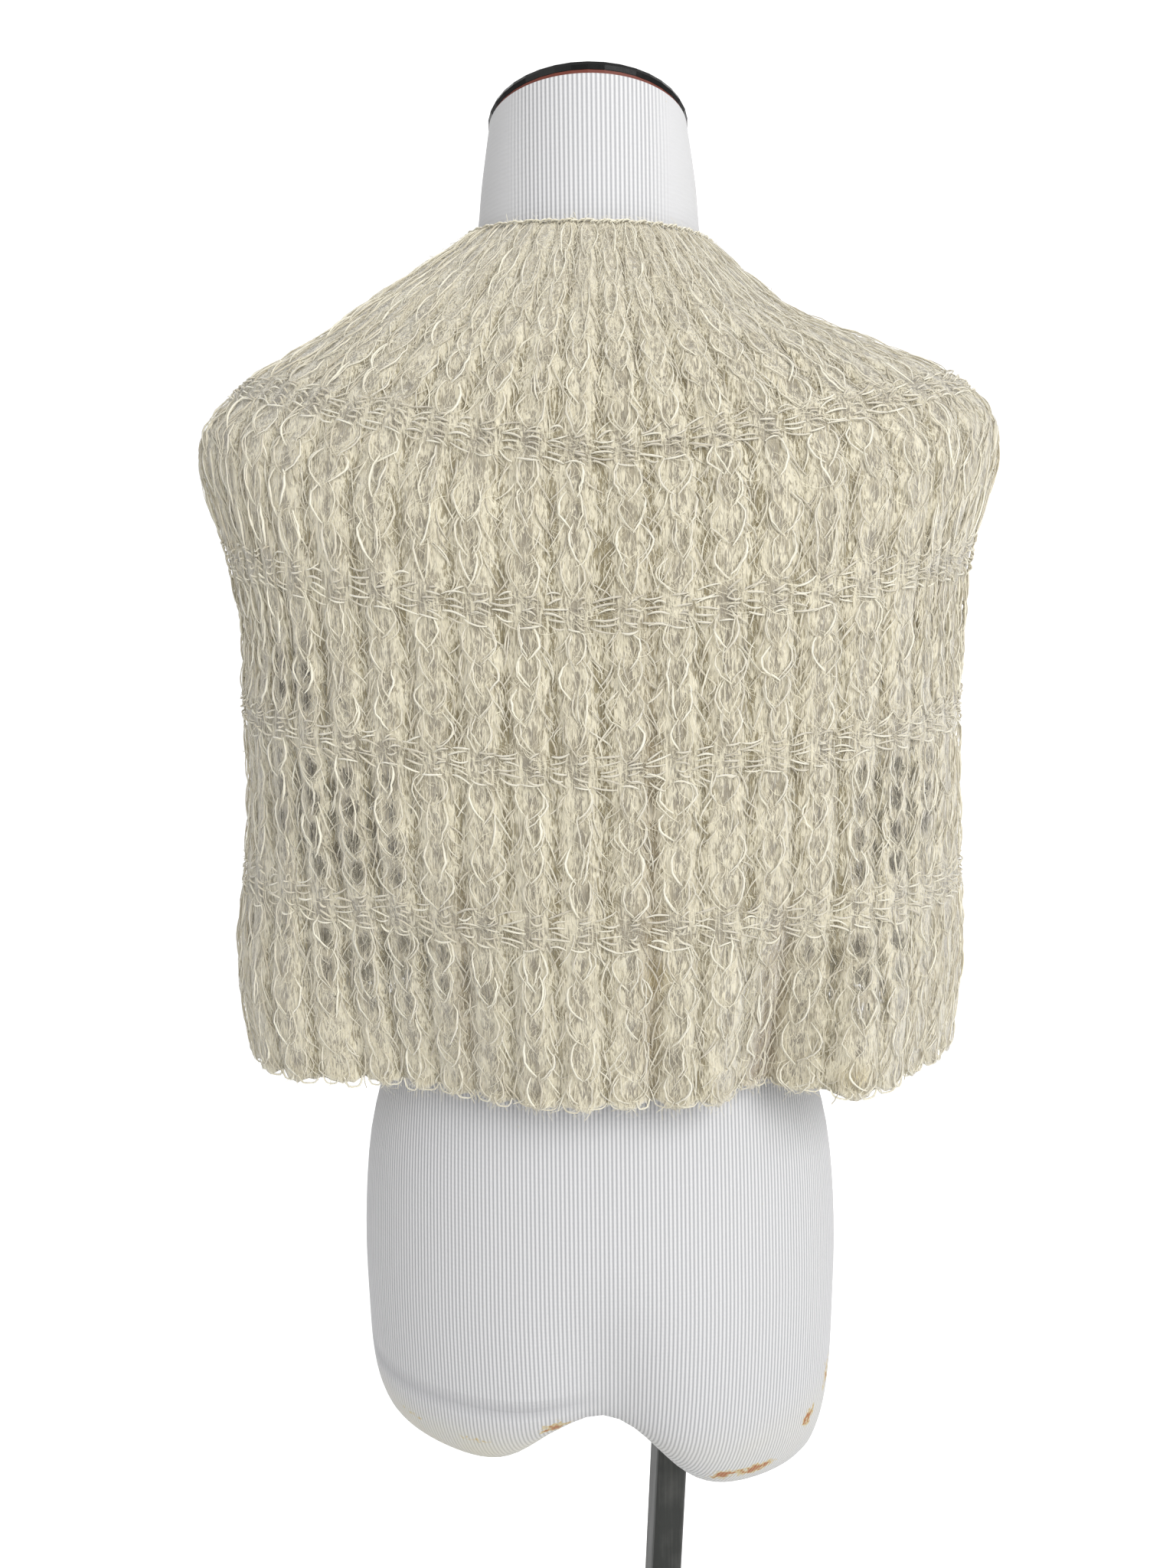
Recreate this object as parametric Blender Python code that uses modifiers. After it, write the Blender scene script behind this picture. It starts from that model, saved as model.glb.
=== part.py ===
"""Knitted jerkin worn on a limbless dress form that stands on a pole and a round plate.

Units are metres and +Z is up. The origin lies on the floor under the middle of the whole thing.
The jerkin's front faces -Y and its back faces +Y, so the wearer's right is -X and the left is +X.

The jerkin is a loose, cropped, sleeveless knit of two panels, back and front, that meet in a seam
along each shoulder and down each side, with an armhole between. Both are walls of knit that fan out
in ribs from the neck to the hem and are crossed by four tight bands. The ribs stand on the outside
of each wall and its inside is plain. The form inside it carries the jerkin on its shoulders.
"""

import math
from typing import NamedTuple

import bmesh
import bpy
from mathutils import Matrix, Vector

# Sizes of the knit
WALL = 0.0020               # cloth between the ribs
RIBS_PER_PANEL = 22
RIB_STEPS = 3               # points across one rib, the first in the valley beside it
RIB_HEIGHT = 0.0025         # how far a rib stands off the wall
NECK_RIB_SHARE = 0.45       # the ribs start this high at the neck, where they crowd together
NECK_RIB_ROWS = 2.0         # rows that the ribs take to reach their full height
BAND_FILL = 0.0015          # how far a tight band fills the valleys between the ribs
BAND_RIB_SHARE = 0.30       # height that a rib keeps where a band crosses it
BAND_REACH = 0.22           # half of a band's height, in rows
BAND_ROWS = (3.0, 5.0, 7.0, 9.0)
INSIDE_STEPS = 2            # points across one rib on the plain inside
SEAM_GAP = 0.0003
ROW_SAG = 1.25              # how fast a row of the knit climbs from the middle to the side seam
SHARE_STEP = 0.01           # small steps across and down, to find which way the wall faces
ROW_STEP = 0.04
UPWARD_LEAN = 0.02          # the wall faces a little up where it lies over the shoulders
RING_STEPS = 36             # steps that measure the length of a quarter of a row
FOLD_GROWTH = 1.5           # above 1 for a fold that opens slowly from its top
OUTER_TOP_ROWS = (0.0, 0.5, 1.0, 1.6, 2.2)
OUTER_HEM_ROWS = (10.6, 11.0)
BETWEEN_BANDS = (0.80, 1.20)    # rows of points below each band
SHARP_ANGLE = math.radians(50.0)    # edges that turn more than this stay crisp
INNER_ROWS = (0.0, 0.8, 1.6, 2.4, 3.2, 3.8, 4.4, 5.2, 6.2, 7.0, 7.8, 8.6, 9.4, 10.2, 11.0)

# Armhole, in rows of the knit and in shares of half a panel
ARMHOLE_TOP_ROW = 3.75
ARMHOLE_FOOT_ROW = 7.30
ARMHOLE_CUT = 0.155
ARMHOLE_GATHER = 0.62       # the knit from here to the side seam is drawn in round the armhole
ARMHOLE_ROUND = 0.55        # below 1 for blunt ends

# Stand and form
FORM_X = 0.0040             # the form hangs a little to the wearer's left under the jerkin
FORM_STEPS = 36
NECK_TILT = math.radians(12.6)
CAP_RADIUS = 0.0566
CAP_HEIGHT = 0.0068
CAP_PROFILE = (             # shares of the cap's radius and height, from its crown to its foot
    (0.000, 1.235),
    (0.450, 1.176),
    (0.800, 1.000),
    (0.930, 0.840),
    (0.985, 0.600),
    (1.000, 0.300),
    (0.985, 0.000),
    (0.000, 0.000),
)
STRIP_RADIUS = 0.0558
STRIP_HEIGHT = 0.0018
CAP_STEPS = 40
ARCH_WIDTH = 0.040          # the shallow arch in the form's lower edge
ARCH_TUCK = 0.65            # how far the edge goes in there, as a share of how far it lifts
TOUCH = 0.0003              # gap between pieces that rest on each other
POLE_WIDTH = 0.0215
POLE_ROUND = 0.0035
POLE_TURN = math.radians(12.0)
POLE_TOP_X = -0.0435
POLE_FOOT_X = -0.0300
PAD_RADIUS = 0.0230         # flat round pad under the form where the pole ends
PAD_UP = 0.3170
PLATE_RADIUS = 0.1500
PLATE_HEIGHT = 0.0100
PLATE_EDGE = 0.0030
PLATE_STEPS = 48


class Ring(NamedTuple):
    """One row round the body: how far out and how high it lies at the back, sides and front."""

    name: str
    back_out: float
    back_up: float
    left_out: float
    left_up: float
    right_out: float
    right_up: float
    front_out: float
    front_up: float
    square: float           # 2 is an ellipse, more is boxier
    drape: float            # 0 lies in one tilted plane, 1 sags in the middle as a knit row does


class Fold(NamedTuple):
    """One soft fold at the hem: a ridge if it goes out, a valley if it goes in."""

    name: str
    share: float            # place across the panel, -1 at the wearer's left seam, 1 at the right
    half_width: float
    out: float
    top_row: float
    lean: float             # how far the fold drifts sideways from its top to the hem


class FormRing(NamedTuple):
    """One section of the dress form's lower half, level but for the arch in the lower edge."""

    name: str
    up: float
    side_out: float
    back_out: float
    front_out: float
    square: float
    arch: float             # how far the lower edge lifts in the middle
    left_lift: float        # how much higher the wearer's left side of the edge lies


# The plain inside of the knit, row by row from the neck edge to the hem
KNIT_RINGS = (
    #    name          back out, up      left out, up      right out, up     front out, up   square drape
    Ring("neck edge", 0.0655, 1.0580, 0.0712, 1.0640, 0.0640, 1.0580, 0.0720, 1.0200, 2.00, 0.7),
    Ring("high yoke", 0.0890, 1.0160, 0.1165, 1.0350, 0.1110, 1.0200, 0.0960, 0.9700, 2.00, 1.0),
    Ring("low yoke", 0.1040, 0.9780, 0.1625, 1.0060, 0.1615, 1.0005, 0.1170, 0.9280, 2.05, 1.0),
    Ring("first band", 0.1110, 0.9390, 0.2035, 0.9820, 0.2070, 0.9810, 0.1290, 0.8860, 2.15, 1.0),
    Ring("shoulder end", 0.1160, 0.9000, 0.2255, 0.9500, 0.2260, 0.9500, 0.1340, 0.8480, 2.30, 1.0),
    Ring("second band", 0.1210, 0.8585, 0.2135, 0.8920, 0.2125, 0.8900, 0.1360, 0.8140, 2.40, 1.0),
    Ring("mid back", 0.1235, 0.8190, 0.2070, 0.8480, 0.2095, 0.8480, 0.1360, 0.7840, 2.40, 1.0),
    Ring("third band", 0.1255, 0.7795, 0.2085, 0.8060, 0.2085, 0.8050, 0.1350, 0.7520, 2.35, 1.0),
    Ring("waist", 0.1265, 0.7380, 0.2095, 0.7580, 0.2115, 0.7560, 0.1340, 0.7160, 2.25, 1.0),
    Ring("fourth band", 0.1265, 0.6950, 0.2155, 0.7070, 0.2150, 0.7050, 0.1330, 0.6810, 2.15, 1.0),
    Ring("low back", 0.1260, 0.6460, 0.2240, 0.6480, 0.2195, 0.6480, 0.1320, 0.6380, 2.10, 1.0),
    Ring("hem", 0.1250, 0.5970, 0.2200, 0.5925, 0.2155, 0.5925, 0.1300, 0.5920, 2.05, 1.0),
)

BACK_FOLDS = (
    #    name                share  half width  out   top row  lean
    Fold("right valley", 0.345, 0.085, -0.0250, 8.6, -0.03),
    Fold("right roll", 0.520, 0.095, 0.0110, 8.2, 0.00),
    Fold("middle valley", 0.085, 0.045, -0.0060, 9.0, 0.00),
    Fold("left hollow", -0.430, 0.200, -0.0230, 8.0, 0.02),
    Fold("left roll", -0.680, 0.090, 0.0050, 8.4, 0.00),
)
FRONT_FOLDS = (
    Fold("right valley", 0.400, 0.100, -0.0170, 8.4, 0.02),
    Fold("middle roll", -0.050, 0.120, 0.0050, 8.8, 0.00),
    Fold("left valley", -0.360, 0.110, -0.0150, 8.2, -0.02),
)

# The form's neck and shoulders, from the flat neck top down to the level of the armholes
FORM_UPPER_RINGS = (
    Ring("neck top", 0.0505, 1.1358, 0.0556, 1.1245, 0.0556, 1.1245, 0.0590, 1.1113, 2.00, 0.0),
    Ring("neck middle", 0.0555, 1.1000, 0.0608, 1.0930, 0.0608, 1.0930, 0.0610, 1.0790, 2.00, 0.3),
    Ring("neck low", 0.0600, 1.0660, 0.0642, 1.0660, 0.0632, 1.0640, 0.0645, 1.0440, 2.00, 0.6),
    Ring("neck root", 0.0640, 1.0480, 0.0700, 1.0510, 0.0660, 1.0470, 0.0690, 1.0200, 2.00, 1.0),
    Ring("shoulder root", 0.0780, 1.0150, 0.1050, 1.0265, 0.1050, 1.0190, 0.0870, 0.9750, 2.00, 1.0),
    Ring("mid shoulder", 0.0920, 0.9800, 0.1500, 1.0080, 0.1500, 1.0050, 0.1060, 0.9320, 2.00, 1.0),
    Ring("shoulder", 0.1020, 0.9440, 0.1850, 0.9900, 0.1850, 0.9905, 0.1190, 0.8920, 2.05, 1.0),
    Ring("shoulder end", 0.1060, 0.9180, 0.1965, 0.9680, 0.1965, 0.9680, 0.1250, 0.8650, 2.15, 1.0),
    Ring("arm plate top", 0.1090, 0.8900, 0.1930, 0.9400, 0.1930, 0.9400, 0.1300, 0.8400, 2.30, 1.0),
    Ring("arm plate", 0.1110, 0.8550, 0.1800, 0.8900, 0.1800, 0.8900, 0.1340, 0.8150, 2.35, 1.0),
    Ring("chest", 0.1090, 0.8150, 0.1650, 0.8350, 0.1650, 0.8350, 0.1320, 0.7900, 2.30, 1.0),
)

FORM_LOWER_RINGS = (
    #        name          up   side out  back    front  square arch  left lift
    FormRing("ribs", 0.7600, 0.1400, 0.0970, 0.1120, 2.20, 0.000, 0.000),
    FormRing("waist", 0.6650, 0.1190, 0.0840, 0.0920, 2.15, 0.000, 0.000),
    FormRing("high hip", 0.5900, 0.1320, 0.0970, 0.0970, 2.15, 0.000, 0.000),
    FormRing("hip", 0.5300, 0.1470, 0.1080, 0.1010, 2.15, 0.000, 0.000),
    FormRing("full hip", 0.4700, 0.1525, 0.1150, 0.1020, 2.20, 0.000, 0.000),
    FormRing("seat", 0.4150, 0.1525, 0.1140, 0.1000, 2.25, 0.004, 0.002),
    FormRing("low seat", 0.3700, 0.1515, 0.1065, 0.0950, 2.25, 0.014, 0.006),
    FormRing("lower edge", 0.3380, 0.1475, 0.0935, 0.0860, 2.20, 0.031, 0.010),
    FormRing("edge turn", 0.3190, 0.1390, 0.0775, 0.0740, 2.10, 0.042, 0.012),
    FormRing("underside", 0.3120, 0.1120, 0.0570, 0.0560, 2.05, 0.040, 0.006),
)


def finish(name: str, colour: tuple, roughness: float, metallic: float = 0.0) -> bpy.types.Material:
    """Make the plain material of one sub-part."""
    material = bpy.data.materials.new(name)
    material.use_nodes = True
    shader = material.node_tree.nodes["Principled BSDF"]
    shader.inputs["Base Color"].default_value = (*colour, 1.0)
    shader.inputs["Roughness"].default_value = roughness
    shader.inputs["Metallic"].default_value = metallic
    material.diffuse_color = (*colour, 1.0)
    return material


def keep(thing: bpy.types.Object, collection: bpy.types.Collection, material: bpy.types.Material) -> None:
    """Dress a finished object and put it in the model's own collection."""
    thing.data.materials.clear()
    thing.data.materials.append(material)
    for other in list(thing.users_collection):
        other.objects.unlink(thing)
    collection.objects.link(thing)


def mesh_object(name: str, bm: bmesh.types.BMesh) -> bpy.types.Object:
    """Turn a built mesh into an object with every face pointing out."""
    bmesh.ops.recalc_face_normals(bm, faces=bm.faces)
    mesh = bpy.data.meshes.new(name)
    bm.to_mesh(mesh)
    bm.free()
    mesh.shade_smooth()
    mesh.set_sharp_from_angle(angle=SHARP_ANGLE)
    return bpy.data.objects.new(name, mesh)


def between(before: float, start: float, end: float, after: float, part: float) -> float:
    """Read a smooth curve through four evenly spaced values, between the middle two."""
    slope_start = (end - before) / 2.0
    slope_end = (after - start) / 2.0
    gap = end - start
    square = 3.0 * gap - 2.0 * slope_start - slope_end
    cube = slope_start + slope_end - 2.0 * gap
    return start + part * (slope_start + part * (square + part * cube))


def ring_at(rings: tuple, row: float) -> Ring:
    """Read the ring at any row, with its sizes on smooth curves through the table."""
    last = len(rings) - 1
    row = min(max(row, 0.0), float(last))
    index = min(int(row), last - 1)
    four = [rings[min(max(index + step, 0), last)] for step in (-1, 0, 1, 2)]
    sizes = [between(*(ring[field] for ring in four), row - index) for field in range(1, len(Ring._fields))]
    return Ring(rings[index].name, *sizes)


def on_ring(ring: Ring, angle: float) -> Vector:
    """Place a point on a ring, with the angle 0 at the back and 90 degrees at the wearer's right."""
    across, along = math.sin(angle), math.cos(angle)
    side_out, side_up = (ring.right_out, ring.right_up) if across >= 0 else (ring.left_out, ring.left_up)
    end_out, end_up = (ring.back_out, ring.back_up) if along >= 0 else (-ring.front_out, ring.front_up)
    power = 2.0 / ring.square
    x = -math.copysign(side_out * abs(across) ** power, across)
    y = end_out * abs(along) ** power
    sag = ring.drape * (1.0 - abs(across) ** ROW_SAG) + (1.0 - ring.drape) * abs(along)
    return Vector((x, y, side_up + (end_up - side_up) * sag))


def quarter_angles(ring: Ring, back: bool, right: bool) -> list:
    """List how far round a quarter each small step of angle reaches, as shares of its length."""
    turn = 1.0 if right else -1.0
    start = 0.0 if back else math.pi
    toward = turn if back else -turn
    angles = [start + toward * math.pi / 2.0 * step / RING_STEPS for step in range(RING_STEPS + 1)]
    points = [on_ring(ring, angle) for angle in angles]
    reach = [0.0]
    for first, second in zip(points, points[1:]):
        reach.append(reach[-1] + (second - first).length)
    return [(distance / reach[-1], angle) for distance, angle in zip(reach, angles)]


def angle_at_share(quarter: list, share: float) -> float:
    """Read the angle that lies a given share of the way from a panel's middle to its side."""
    share = min(max(share, 0.0), 1.0)
    for (low, low_angle), (high, high_angle) in zip(quarter, quarter[1:]):
        if share <= high:
            return low_angle + (high_angle - low_angle) * (share - low) / (high - low)
    return quarter[-1][1]


def bump(distance: float) -> float:
    """A smooth hump that is 1 at its middle and 0 from a distance of 1."""
    return 0.5 + 0.5 * math.cos(math.pi * distance) if abs(distance) < 1.0 else 0.0


def armhole_cut(row: float) -> float:
    """How much of half a panel is missing beside the armhole at a row."""
    part = (row - ARMHOLE_TOP_ROW) / (ARMHOLE_FOOT_ROW - ARMHOLE_TOP_ROW)
    if part <= 0.0 or part >= 1.0:
        return 0.0
    return ARMHOLE_CUT * math.sin(math.pi * part) ** ARMHOLE_ROUND


def drawn_in(share: float, row: float) -> float:
    """Move the outer part of a panel in from the side where the armhole takes its place."""
    distance = abs(share)
    if distance <= ARMHOLE_GATHER:
        return share
    squeeze = 1.0 - armhole_cut(row) / (1.0 - ARMHOLE_GATHER)
    return math.copysign(ARMHOLE_GATHER + (distance - ARMHOLE_GATHER) * squeeze, share)


def band_at(row: float) -> float:
    """How fully a tight band crosses the knit at a row, from 0 to 1."""
    return max(bump((row - band) / (2.0 * BAND_REACH)) for band in BAND_ROWS)


def rib_rise(share: float, row: float) -> float:
    """How far the outside stands off the plain wall, on a rib, in a valley or on a band."""
    phase = ((share + 1.0) / 2.0 * RIBS_PER_PANEL) % 1.0
    rib = math.sin(math.pi * phase) / math.sin(math.pi / RIB_STEPS)
    grown = NECK_RIB_SHARE + (1.0 - NECK_RIB_SHARE) * min(row / NECK_RIB_ROWS, 1.0)
    band = band_at(row)
    height = RIB_HEIGHT * grown * (1.0 - (1.0 - BAND_RIB_SHARE) * band)
    return height * rib + BAND_FILL * band


class Panel:
    """One knitted panel, with its plain inside on the jerkin's rings and folds."""

    def __init__(self, name: str, back: bool, folds: tuple) -> None:
        self.name = name
        self.back = back
        self.folds = folds
        self.quarters = {}

    def fold_out(self, share: float, row: float) -> float:
        """How far the folds move the wall out at a place."""
        total = 0.0
        hem_row = len(KNIT_RINGS) - 1
        for fold in self.folds:
            depth = (row - fold.top_row) / (hem_row - fold.top_row)
            if depth > 0.0:
                middle = fold.share + fold.lean * (depth - 1.0)
                growth = math.sin(min(depth, 1.0) * math.pi / 2.0) ** FOLD_GROWTH
                total += fold.out * growth * bump((share - middle) / (2.0 * fold.half_width))
        return total

    def inside(self, share: float, row: float) -> Vector:
        """Place a point of the plain inside, by its share across the panel and its row."""
        key = (share >= 0.0, round(row, 6))
        if key not in self.quarters:
            self.quarters[key] = quarter_angles(ring_at(KNIT_RINGS, row), self.back, share >= 0.0)
        ring = ring_at(KNIT_RINGS, row)
        angle = angle_at_share(self.quarters[key], abs(share))
        place = on_ring(ring, angle)
        outward = Vector((-math.sin(angle) * ring.back_out, math.cos(angle) * ring.left_out, 0.0))
        return place + outward.normalized() * self.fold_out(share, row)

    def facing(self, share: float, row: float) -> Vector:
        """Find which way the wall faces, in the seam's plane where it ends at a seam."""
        hem_row = float(len(KNIT_RINGS) - 1)
        right, left = min(share + SHARE_STEP, 1.0), max(share - SHARE_STEP, -1.0)
        low, high = min(row + ROW_STEP, hem_row), max(row - ROW_STEP, 0.0)
        across = self.inside(right, row) - self.inside(left, row)
        down = self.inside(share, low) - self.inside(share, high)
        normal = across.cross(down)
        place = self.inside(share, row)
        if normal.dot(Vector((place.x, place.y, UPWARD_LEAN))) < 0.0:
            normal.negate()
        if abs(share) > 1.0 - SHARE_STEP / 2.0:
            normal.y = 0.0
        return normal.normalized()

    def place(self, share: float, row: float, off: float) -> Vector:
        """Place a point a distance off the plain inside, half a seam gap from the other panel."""
        true_share = drawn_in(share, row)
        point = self.inside(true_share, row) + self.facing(true_share, row) * off
        half_gap = SEAM_GAP / 2.0
        return point + Vector((0.0, half_gap if self.back else -half_gap, 0.0))

    def outer_rows(self) -> list:
        """List the rows of points down the outside: close at the bands and apart between them."""
        rows = list(OUTER_TOP_ROWS)
        for band in BAND_ROWS:
            rows += [band - 2.0 * BAND_REACH, band, band + 2.0 * BAND_REACH]
            rows += [band + below for below in BETWEEN_BANDS]
        return rows + list(OUTER_HEM_ROWS)

    def build(self) -> bpy.types.Object:
        """Make the closed wall: ribbed outside, plain inside and the four edges between them."""
        bm = bmesh.new()
        outer_columns = even_shares(RIBS_PER_PANEL * RIB_STEPS)
        inner_columns = even_shares(RIBS_PER_PANEL * INSIDE_STEPS)
        outer_rows = self.outer_rows()
        outer = [[bm.verts.new(self.place(share, row, WALL + rib_rise(share, row))) for share in outer_columns]
                 for row in outer_rows]
        inner = [[bm.verts.new(self.place(share, row, 0.0)) for share in inner_columns] for row in INNER_ROWS]
        for net in (outer, inner):
            for upper, lower in zip(net, net[1:]):
                join_rows(bm, upper, lower)
        close_edge(bm, list(zip(outer_columns, outer[0])), list(zip(inner_columns, inner[0])))
        close_edge(bm, list(zip(outer_columns, outer[-1])), list(zip(inner_columns, inner[-1])))
        for end in (0, -1):
            outer_side = [(row, verts[end]) for row, verts in zip(outer_rows, outer)]
            inner_side = [(row, verts[end]) for row, verts in zip(INNER_ROWS, inner)]
            close_edge(bm, outer_side, inner_side)
        return mesh_object(self.name, bm)


def even_shares(steps: int) -> list:
    """List evenly spaced shares across a panel, from seam to seam."""
    return [-1.0 + 2.0 * step / steps for step in range(steps + 1)]


def join_rows(bm: bmesh.types.BMesh, upper: list, lower: list) -> None:
    """Lay faces between two rows of points, two triangles to a cell."""
    for index in range(len(upper) - 1):
        bm.faces.new((upper[index], lower[index], lower[index + 1]))
        bm.faces.new((upper[index], lower[index + 1], upper[index + 1]))


def close_edge(bm: bmesh.types.BMesh, first: list, second: list) -> None:
    """Close the gap between two edges whose points, given with their measures, don't pair up."""
    one = two = 0
    while one < len(first) - 1 or two < len(second) - 1:
        first_left = one < len(first) - 1
        second_left = two < len(second) - 1
        if first_left and (not second_left or first[one + 1][0] <= second[two + 1][0]):
            bm.faces.new((first[one][1], first[one + 1][1], second[two][1]))
            one += 1
        else:
            bm.faces.new((first[one][1], second[two + 1][1], second[two][1]))
            two += 1


def form_lower_point(ring: FormRing, angle: float) -> Vector:
    """Place a point on a level section of the form, with the arch in its lower edge."""
    across, along = math.sin(angle), math.cos(angle)
    power = 2.0 / ring.square
    x = -math.copysign(ring.side_out * abs(across) ** power, across)
    y = (ring.back_out if along >= 0 else -ring.front_out) * abs(along) ** power
    arch = ring.arch * math.exp(-(x / ARCH_WIDTH) ** 2)
    tucked = y - math.copysign(min(ARCH_TUCK * arch, abs(y)), y)
    lift = ring.left_lift * (x / ring.side_out)
    return Vector((x + FORM_X, tucked, ring.up + arch + lift))


def form_loops() -> list:
    """List the form's sections as loops of places, from the neck top to the pad over the pole."""
    angles = [2.0 * math.pi * step / FORM_STEPS for step in range(FORM_STEPS)]
    loops = []
    shift = Vector((FORM_X, 0.0, 0.0))
    for index in range(2 * len(FORM_UPPER_RINGS) - 1):
        ring = ring_at(FORM_UPPER_RINGS, index / 2.0)
        loops.append([on_ring(ring, angle) + shift for angle in angles])
    for ring in FORM_LOWER_RINGS:
        loops.append([form_lower_point(ring, angle) for angle in angles])
    pad = [Vector((POLE_TOP_X - PAD_RADIUS * math.sin(angle), PAD_RADIUS * math.cos(angle), PAD_UP))
           for angle in angles]
    loops.append(pad)
    return loops


def build_form() -> bpy.types.Object:
    """Make the covered torso as one smooth closed body."""
    bm = bmesh.new()
    loops = [[bm.verts.new(place) for place in loop] for loop in form_loops()]
    for upper, lower in zip(loops, loops[1:]):
        join_rows(bm, upper + upper[:1], lower + lower[:1])
    bm.faces.new(loops[0])
    bm.faces.new(loops[-1])
    return mesh_object("form_torso", bm)


def turned(name: str, profile: list, steps: int) -> bpy.types.Object:
    """Turn a profile of radius and height, from the top's middle down to the foot's, round +Z."""
    mesh = bpy.data.meshes.new(name)
    mesh.from_pydata([(radius, 0.0, up) for radius, up in profile],
                     [(index, index + 1) for index in range(len(profile) - 1)], [])
    thing = bpy.data.objects.new(name, mesh)
    screw = thing.modifiers.new("turn", "SCREW")
    screw.steps = steps
    screw.render_steps = steps
    screw.use_merge_vertices = True
    screw.merge_threshold = 0.00005
    screw.use_smooth_shade = False
    return thing


def neck_axis() -> Vector:
    """The direction that the flat neck top faces: up and a little forward."""
    return Vector((0.0, -math.sin(NECK_TILT), math.cos(NECK_TILT)))


def neck_middle() -> Vector:
    """The middle of the flat neck top."""
    ring = FORM_UPPER_RINGS[0]
    middle_y = (ring.back_out - ring.front_out) / 2.0
    middle_up = ring.left_up + (ring.back_up - ring.left_up) * middle_y / ring.back_out
    return Vector((FORM_X, middle_y, middle_up))


def build_neck_strip() -> bpy.types.Object:
    """Make the thin brown board that shows under the cap."""
    bpy.ops.mesh.primitive_cylinder_add(vertices=CAP_STEPS, radius=STRIP_RADIUS, depth=STRIP_HEIGHT)
    thing = bpy.context.active_object
    thing.name = thing.data.name = "neck_strip"
    thing.rotation_euler = (NECK_TILT, 0.0, 0.0)
    thing.location = neck_middle() + neck_axis() * (TOUCH + STRIP_HEIGHT / 2.0)
    return thing


def build_neck_cap() -> bpy.types.Object:
    """Make the lacquered cap: a low crowned disc with a rounded rim."""
    profile = [(CAP_RADIUS * out, CAP_HEIGHT * up) for out, up in CAP_PROFILE]
    thing = turned("neck_cap", profile, CAP_STEPS)
    thing.rotation_euler = (NECK_TILT, 0.0, 0.0)
    thing.location = neck_middle() + neck_axis() * (2.0 * TOUCH + STRIP_HEIGHT)
    return thing


def build_pole() -> bpy.types.Object:
    """Make the slightly leaning pole between the plate and the pad under the form."""
    foot = Vector((POLE_FOOT_X, 0.0, PLATE_HEIGHT))
    top = Vector((POLE_TOP_X, 0.0, PAD_UP))
    lean = math.atan2(top.x - foot.x, top.z - foot.z)
    dip = POLE_WIDTH / 2.0 * abs(math.sin(lean)) * math.sqrt(2.0)
    length = (top - foot).length - 2.0 * (dip + TOUCH)
    bpy.ops.mesh.primitive_cube_add(size=1.0)
    thing = bpy.context.active_object
    thing.name = thing.data.name = "pole"
    thing.data.transform(Matrix.Diagonal((POLE_WIDTH, POLE_WIDTH, length, 1.0)))
    bevel = thing.modifiers.new("rounded corners", "BEVEL")
    bevel.width = POLE_ROUND
    bevel.segments = 3
    bevel.limit_method = "WEIGHT"
    upright = thing.data.attributes.new("bevel_weight_edge", "FLOAT", "EDGE")
    for edge in thing.data.edges:
        first, second = (thing.data.vertices[index].co for index in edge.vertices)
        upright.data[edge.index].value = 1.0 if abs(first.z - second.z) > length / 2.0 else 0.0
    turn = Matrix.Rotation(lean, 4, "Y") @ Matrix.Rotation(POLE_TURN, 4, "Z")
    thing.matrix_world = Matrix.Translation((foot + top) / 2.0) @ turn
    return thing


def build_plate() -> bpy.types.Object:
    """Make the heavy round plate on the floor."""
    shoulder = PLATE_EDGE * (1.0 - math.cos(math.pi / 4.0))
    profile = [(0.0, PLATE_HEIGHT), (PLATE_RADIUS - PLATE_EDGE, PLATE_HEIGHT),
               (PLATE_RADIUS - shoulder, PLATE_HEIGHT - shoulder),
               (PLATE_RADIUS, PLATE_HEIGHT - PLATE_EDGE), (PLATE_RADIUS, 0.0), (0.0, 0.0)]
    thing = turned("base_plate", profile, PLATE_STEPS)
    thing.location = (POLE_FOOT_X, 0.0, 0.0)
    return thing


def clear_scene() -> None:
    """Start from a scene with nothing in it."""
    for thing in list(bpy.data.objects):
        bpy.data.objects.remove(thing, do_unlink=True)


def build_model() -> None:
    """Build every sub-part, each its own object with its own material."""
    clear_scene()
    model = bpy.data.collections.new("knitted_jerkin_on_dress_form")
    bpy.context.scene.collection.children.link(model)
    keep(Panel("back_panel", True, BACK_FOLDS).build(), model, finish("cream knit back", (0.71, 0.66, 0.55), 0.95))
    keep(Panel("front_panel", False, FRONT_FOLDS).build(), model, finish("cream knit front", (0.70, 0.65, 0.54), 0.95))
    keep(build_form(), model, finish("white jersey", (0.80, 0.80, 0.82), 0.90))
    keep(build_neck_strip(), model, finish("red brown board", (0.22, 0.06, 0.04), 0.60))
    keep(build_neck_cap(), model, finish("black lacquer", (0.012, 0.011, 0.011), 0.18))
    keep(build_pole(), model, finish("dark grey steel", (0.045, 0.047, 0.045), 0.40, 0.60))
    keep(build_plate(), model, finish("dark grey iron", (0.040, 0.042, 0.042), 0.50, 0.50))


build_model()
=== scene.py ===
"""Looks of a hand-knit jerkin that hangs on a limbless dress form.

Units are metres, +Z is up, the jerkin's back faces +Y and the wearer's left is +X. Each knitted panel
is a thin web of haze on the same rows and folds as its solid, with the yarn laid on it as real strands:
chains of loops on the ribs, rungs between them, tight bands across, bound-off and cast-on edges, and a
mohair halo of single fibres. The form has a ribbed jersey cover, a lacquered cap and a steel stand.
"""

import logging
import math
from dataclasses import dataclass, field
from enum import Enum
from typing import NamedTuple

import bpy
import numpy as np
from mathutils import Matrix, Vector


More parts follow.
